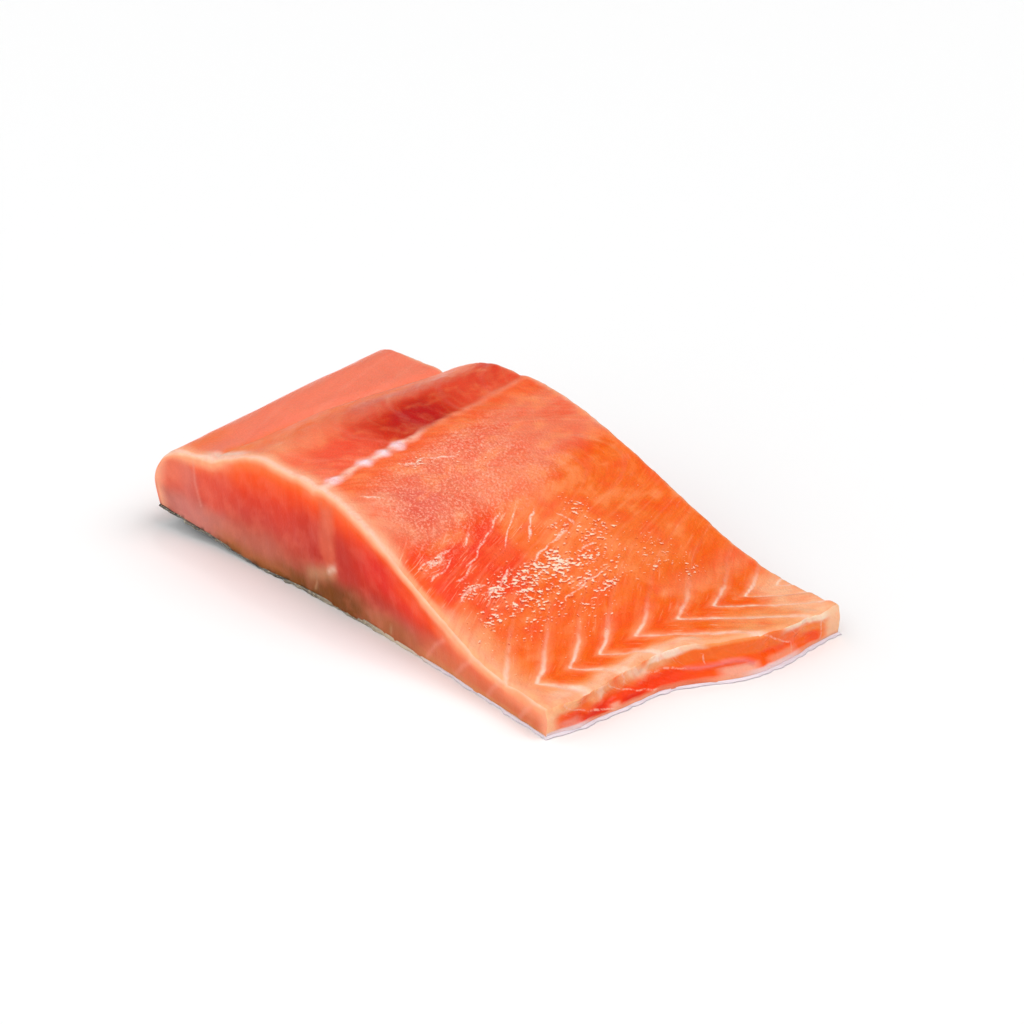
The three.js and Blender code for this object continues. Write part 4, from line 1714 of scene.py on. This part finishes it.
    def belly_colour(self, measures: Measures, ragged: Floats) -> Floats:
        """The belly wall's fields with clear gaps, pale patches, glows and red folds.

        Args:
            measures: Every measure at every point.
            ragged: Noise for the fields' edges.

        Returns:
            Linear colours with alpha, one row for each point.
        """
        y, height = measures[Measure.ALONG], measures[Measure.HEIGHT]
        gaps = np.clip(self.wall_gaps.at(self.sweep(y, height), 0.3 * height), 0.0, 0.5)
        gaps = gaps * smoothstep(measures[Measure.UP], 0.3, 0.55)
        gaps = gaps * smoothstep(y, 3.0, 7.0) * falloff(y, 34.0, 42.0)
        belly = over(BELLY_PAINT.colours(measures, ragged), "#FF8638", gaps)
        belly = over(belly, "#FFD8BE", 0.7 * strand_cover(BELLY_PALES, y, height))
        belly = over(belly, "#FF6C10", 0.8 * strand_cover(BELLY_GLOWS, y, height))
        return over(belly, "#F27C74", 0.85 * strand_cover(BELLY_RIDGES, y, height))

    def attributes(self, mesh: PieceMesh, points: Floats) -> dict[str, Floats]:
        """The values that the finishes read at every point.

        Args:
            mesh: The flesh's mesh.
            points: Its points in millimetres.

        Returns:
            The attributes by name.
        """
        measures = self.measures(mesh, points)
        distance, y = measures[Measure.FROM_BACK], measures[Measure.ALONG]
        height = measures[Measure.HEIGHT]
        across, along, up = mesh.split()
        flake = self.flake_distance(distance, along)
        ragged = self.ragged.at(distance + 0.7 * height, y + 0.4 * height)
        clumps = self.clumps.at(distance, 0.6 * y)
        on_top = smoothstep(up, 0.992, 1.0)
        on_wall = smoothstep(across, 0.999, 1.0) * (1.0 - on_top)
        to_cut = np.minimum(y, self.form.length - y)
        on_cut = falloff(to_cut, 0.0, 0.2) * (1.0 - on_top)
        on_belly = np.where(on_wall > 0.5, nearest_strand(BELLY_STRANDS, y, height), 999.0)
        offsets = np.where(on_top > 0.5, nearest_strand(TOP_STRANDS, distance, y), on_belly)
        past = self.flake_points + self.flake_swing * y - distance
        nearby = bump(np.maximum(past, 0.0), lerp(12.0, 7.0, smoothstep(y, 8.0, 50.0)))
        blobs = self.septum_blobs(y)
        specks = self.specks(distance, y) * (0.95 + 0.5 * clumps)
        plain = smoothstep(y, 38.0, 46.0) * falloff(y, 72.0, 78.0)
        wall_streaks = smoothstep(height, 3.0, 7.0) * (1.0 - 0.9 * plain)
        streaks = self.streaks(distance, y) * np.clip(0.5 + 1.3 * clumps, 0.0, 1.2)
        fibrous = lerp(0.3, 1.0, smoothstep(measures[Measure.FROM_CREASE], 2.0, 18.0))
        fibrous = np.where(on_cut > 0.5, 0.5, fibrous)
        fibrous = np.where(on_wall > 0.5, 0.2 + 0.5 * wall_streaks, fibrous)
        fibrous = np.where(across < 0.001, 0.9, fibrous)
        return {
            "flesh_mm": np.stack([distance, y, height], axis=-1),
            "flake_way": np.stack([flake, distance, y], axis=-1),
            "cut_way": np.stack([distance + 0.25 * height, height, y], axis=-1),
            "wall_way": np.stack([self.sweep(y, height), y, height], axis=-1),
            "fibrous": fibrous,
            "flake_mm": flake,
            "flake_strength": np.clip((0.05 + 0.95 * nearby) * (0.85 + 0.3 * ragged), 0.0, 1.0),
            "flake_width": lerp(1.3, 2.2, smoothstep(-past, 0.0, 5.0)) + 0.3 * clumps,
            "halo_strength": 0.55 * np.clip(1.4 * nearby, 0.0, 1.0),
            "halo_width": np.full(distance.size, 4.2),
            "septum_mm": self.septum_offset(distance, y),
            "septum_width": 2.6 + 1.2 * blobs + 0.9 * clumps,
            "septum_strength": 0.9 * lerp(0.2, 1.0, falloff(y, 34.0, 48.0)),
            "septum_blobs": np.clip(1.1 * blobs, 0.0, 0.95),
            "specks": np.clip(specks, 0.0, 1.0) * on_top,
            "streaks": streaks * on_top + 0.35 * wall_streaks * on_wall,
            "torn_sheen": np.clip(self.torn_sheen(distance, y) * (0.8 + 0.5 * ragged), 0.0, 1.0) * on_top,
            "strand_offset": np.clip(offsets, -9.0, 9.0),
            "strand_near": bump(offsets, 2.0),
            "top_colour": self.top_colour(measures, ragged, specks),
            "cut_colour": self.cut_colour(measures, ragged),
            "belly_colour": self.belly_colour(measures, ragged),
        }

    def finishes(self) -> list[bpy.types.Material]:
        """Makes the three flesh materials.

        Returns:
            The top's, the cut faces' and the belly wall's material.
        """
        halo = Seam("flake_mm", "halo_strength", "halo_width", "#FFAE80", self.flake_pitch, 0.6)
        chevrons = Seam("flake_mm", "flake_strength", "flake_width", "#FFD6C2", self.flake_pitch, 0.6)
        septum = Seam("septum_mm", "septum_strength", "septum_width", "#FFC6B0", 0.0, 0.4)
        blobs = Seam("septum_mm", "septum_blobs", "septum_width", "#FFDCE6", 0.0, 0.4)
        seams = (halo, chevrons, septum, blobs)
        top = FleshFinish(
            "raw salmon muscle, trimmed top",
            "top_colour",
            seams,
            torn=True,
            strand_colour="#FFDCCB",
            bump_mm=0.14,
        )
        cut = FleshFinish(
            "raw salmon muscle, knife cut",
            "cut_colour",
            fibre_way="cut_way",
            fibre_scale=(0.4, 0.12, 0.1),
            deep_tone="#F4B4A8",
            deep_share=0.16,
            pale_tone="#F08468",
            pale_share=0.14,
            grain_share=0.03,
            roughness=0.46,
            gloss=0.25,
            film=0.06,
            bump_mm=0.08,
        )
        belly = FleshFinish(
            "raw salmon muscle, belly wall membrane",
            "belly_colour",
            streak_colour="#FFDCBC",
            strand_colour="#FFBEA6",
            fibre_way="wall_way",
            fibre_scale=(0.6, 0.1, 0.1),
            deep_tone="#FF8A50",
            deep_share=0.35,
            pale_tone="#FFBC8C",
            pale_share=0.25,
            grain_share=0.03,
            roughness=0.34,
            bump_mm=0.07,
        )
        return [top.material(), cut.material(), belly.material()]

    def build(self) -> bpy.types.Object:
        """Makes the flesh piece.

        Returns:
            The dressed object, which stands for the slab's solid.
        """
        width = self.form.width(np.array(0.5))
        grid = SlabGrid(
            stations(float(width), self.pitch, self.soft),
            stations(self.form.length, self.pitch, self.soft),
            stations(self.form.back_height, self.levels, self.soft),
        )
        mesh = PieceMesh("salmon_flesh", grid)
        points = self.place(*mesh.split())
        slots = {side: 1 for side in Side}
        slots[Side.TOP], slots[Side.BELLY_WALL] = 0, 2
        made = mesh.make(points, self.finishes(), slots, self.attributes(mesh, points))
        LOG.info("%s: %d quads", made.name, len(mesh.quads))
        return made


# ---- The skin ----


@dataclass
class Skin:
    """The skin: a thin closed sheet under the flesh, with ragged cut edges."""

    form: SlabForm
    shift: Floats
    pitch: float = 0.9
    levels: int = 4  # rows of points up its edges
    soft: float = 1.2
    thickness: float = 0.7
    middle_pad: float = 0.7  # how much thicker it is under the loin
    middle_pad_place: float = 80.0  # from the back edge
    middle_pad_width: float = 18.0
    overhang: float = 0.35  # how far its cut edges stand out from the flesh
    belly_overhang: float = 0.8
    back_overhang: float = 0.4
    scale_relief: float = 0.1
    scale_turns: float = 1.5  # radians of its waves for each millimetre: scales about 4 mm apart

    # Unevenness: its seed, the spacing of its highs and lows, and its height.
    frayed: Noise = Noise(61, 2.2, 0.55, 3)
    ragged: Noise = Noise(67, 7.0, 1.0, 3)
    blots: Noise = Noise(79, 2.4, 3.0)

    def place(self, across: Floats, along: Floats, up: Floats) -> Floats:
        """The skin's points: the slab's foot, thickened upwards and drawn out at its edges.

        Args:
            across: Fraction from the back edge to the belly edge.
            along: Fraction from the near cut to the far cut.
            up: Fraction from its scaly face to the flesh.

        Returns:
            The points in millimetres, in the part's frame.
        """
        form = self.form
        foot = form.place(across, along, np.zeros_like(across))
        distance = form.from_back(across, along)
        along_mm = form.length * along
        pad = self.middle_pad * bump(distance - self.middle_pad_place, self.middle_pad_width)
        frayed = self.frayed.at(distance, along_mm)
        at_cuts = smoothstep(along, 0.98, 1.0) - falloff(along, 0.0, 0.02)
        foot[:, 1] += (self.overhang + frayed) * at_cuts * (1.0 - 0.6 * up)
        at_belly = smoothstep(across, 0.99, 1.0)
        foot[:, 0] += (self.belly_overhang + frayed) * at_belly * (1.0 - 0.7 * up)
        foot[:, 0] -= self.back_overhang * falloff(across, 0.0, 0.01) * (1.0 - up)
        waves = np.cos(self.scale_turns * distance) * np.cos(self.scale_turns * along_mm)
        scales = self.scale_relief * (1.0 + waves)
        foot[:, 2] += (self.thickness + pad) * up + scales * (1.0 - up)
        return foot + self.shift

    def attributes(self, mesh: PieceMesh) -> dict[str, Floats]:
        """The values that the finish reads at every point.

        Args:
            mesh: The skin's mesh.

        Returns:
            The attributes by name.
        """
        form = self.form
        across, along, up = mesh.split()
        distance = form.from_back(across, along)
        along_mm = form.length * along
        from_belly = form.width(along) - distance
        to_cut = form.length * np.minimum(along, 1.0 - along)
        to_rim = np.minimum(to_cut, np.minimum(distance, from_belly))
        measures = {
            Measure.FROM_BACK: distance,
            Measure.FROM_BELLY: from_belly,
            Measure.TO_RIM: to_rim,
        }
        tones = SKIN_PAINT.colours(measures, self.ragged.at(distance, along_mm))
        at_rim = falloff(to_rim, 0.8, 2.0)
        blots = np.clip(self.blots.at(distance, along_mm) + 0.3, 0.0, 1.0) * at_rim
        return {
            "flesh_mm": np.stack([distance, along_mm, 4.0 * up], axis=-1),
            "skin_colour": over(tones, "#16120E", blots * falloff(distance, 50.0, 80.0)),
            "scaly": smoothstep(to_rim, 0.4, 1.2),
            "skin_edge": at_rim * falloff(distance, 100.0, 120.0),
        }

    def build(self) -> bpy.types.Object:
        """Makes the skin piece.

        Returns:
            The dressed object.
        """
        grid = SlabGrid(
            stations(float(self.form.width(np.array(0.5))), self.pitch, self.soft),
            stations(self.form.length, self.pitch, self.soft),
            np.linspace(0.0, 1.0, self.levels),
        )
        mesh = PieceMesh("salmon_skin", grid)
        slots = {side: 0 for side in Side}
        points, finish = self.place(*mesh.split()), SkinFinish().material()
        made = mesh.make(points, [finish], slots, self.attributes(mesh))
        LOG.info("%s: %d quads", made.name, len(mesh.quads))
        return made


# ---- Studio ----


@dataclass(frozen=True)
class SoftLight:
    """A far round light that looks at the fillet. A wider spread makes softer shadows."""

    name: str
    azimuth: float  # degrees: 0 stands on the near cut's side, 90 on the belly's side
    elevation: float
    spread: float  # degrees across, as seen from the fillet
    strength: float  # brightness that it alone gives a white card turned to it


@dataclass(frozen=True)
class Studio:
    """A pale board, soft light and the camera."""

    shift: Floats
    azimuth: float = 48.83
    elevation: float = 24.0
    distance: float = 0.7  # metres
    focal_length: float = 91.8  # millimetres, on a sensor 36 mm wide
    aim: Triple = (77.52, 62.41, 12.0)  # millimetres, in the slab's form
    board_size: float = 4.0  # metres
    board_colour: str = "#F4F4F4"
    board_roughness: float = 0.7
    room_light: float = 0.12  # strength of the even light from all round
    lights: tuple[SoftLight, ...] = (
        SoftLight("key panel", 130.0, 58.0, 50.0, 0.52),
        SoftLight("overhead panel", 40.0, 75.0, 60.0, 0.19),
        SoftLight("front fill", 12.0, 26.0, 60.0, 0.33),
        SoftLight("left fill", 300.0, 36.0, 60.0, 0.33),
        SoftLight("right fill", 100.0, 22.0, 60.0, 0.06),
        SoftLight("back spot", 226.0, 58.0, 6.0, 0.05),
    )

    def toward(self, azimuth: float, elevation: float) -> Vector:
        """The unit vector from the fillet to a place at that azimuth and elevation."""
        a, e = math.radians(azimuth), math.radians(elevation)
        return Vector((math.sin(a) * math.cos(e), -math.cos(a) * math.cos(e), math.sin(e)))

    def camera(self) -> None:
        """Stands the camera off from its aim, with the horizon level."""
        data = bpy.data.cameras.new("camera")
        data.sensor_width = 36.0
        data.lens = self.focal_length
        data.clip_start, data.clip_end = 0.05, 20.0
        aim = Vector((np.array(self.aim) + self.shift) * MM)
        back = self.toward(self.azimuth, self.elevation)
        camera = show("camera", data)
        camera.location = aim + back * self.distance
        camera.rotation_euler = (-back).to_track_quat("-Z", "Y").to_euler()
        bpy.context.scene.camera = camera

    def light(self, panel: SoftLight) -> None:
        """Hangs one light, turned to the fillet.

        Args:
            panel: The light.
        """
        data = bpy.data.lights.new(panel.name, "SUN")
        data.angle = math.radians(panel.spread)
        data.energy = panel.strength * math.pi
        back = self.toward(panel.azimuth, panel.elevation)
        lamp = show(panel.name, data)
        lamp.location = back
        lamp.rotation_euler = (-back).to_track_quat("-Z", "Y").to_euler()

    def board(self) -> None:
        """Lays a plain pale board under everything."""
        half = self.board_size / 2.0
        mesh = bpy.data.meshes.new("board")
        corners = [(-half, -half, 0.0), (half, -half, 0.0), (half, half, 0.0), (-half, half, 0.0)]
        mesh.from_pydata(corners, [], [(0, 1, 2, 3)])
        material = bpy.data.materials.new("matt white board")
        material.use_nodes = True
        shader = material.node_tree.nodes["Principled BSDF"]
        shader.inputs["Base Color"].default_value = linear(self.board_colour)
        shader.inputs["Roughness"].default_value = self.board_roughness
        mesh.materials.append(material)
        board = show("board", mesh)

    def air(self) -> None:
        """Fills the room with even white light, and keeps colours as they are."""
        world = bpy.data.worlds.new("white room")
        world.use_nodes = True
        background = world.node_tree.nodes["Background"]
        background.inputs["Color"].default_value = linear("#FFFFFF")
        background.inputs["Strength"].default_value = self.room_light
        bpy.context.scene.world = world
        bpy.context.scene.view_settings.view_transform = "Standard"

    def build(self) -> None:
        """Sets up camera, air, board and lights."""
        self.camera()
        self.air()
        self.board()
        for panel in self.lights:
            self.light(panel)


# ---- Everything in order ----


def main() -> None:
    """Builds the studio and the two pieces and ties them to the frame."""
    logging.basicConfig(level=logging.INFO, format="%(name)s: %(message)s")
    form = SlabForm()
    shift = form.shift_onto(*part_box(NODE))
    Studio(shift).build()
    flesh = Flesh(form, shift).build()
    skin = Skin(form, shift).build()
    for piece, slot in ((flesh, "raw_salmon"), (skin, "salmon_skin")):
        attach(piece, BODY)
        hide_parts(NODE)


if __name__ == "__main__":
    main()
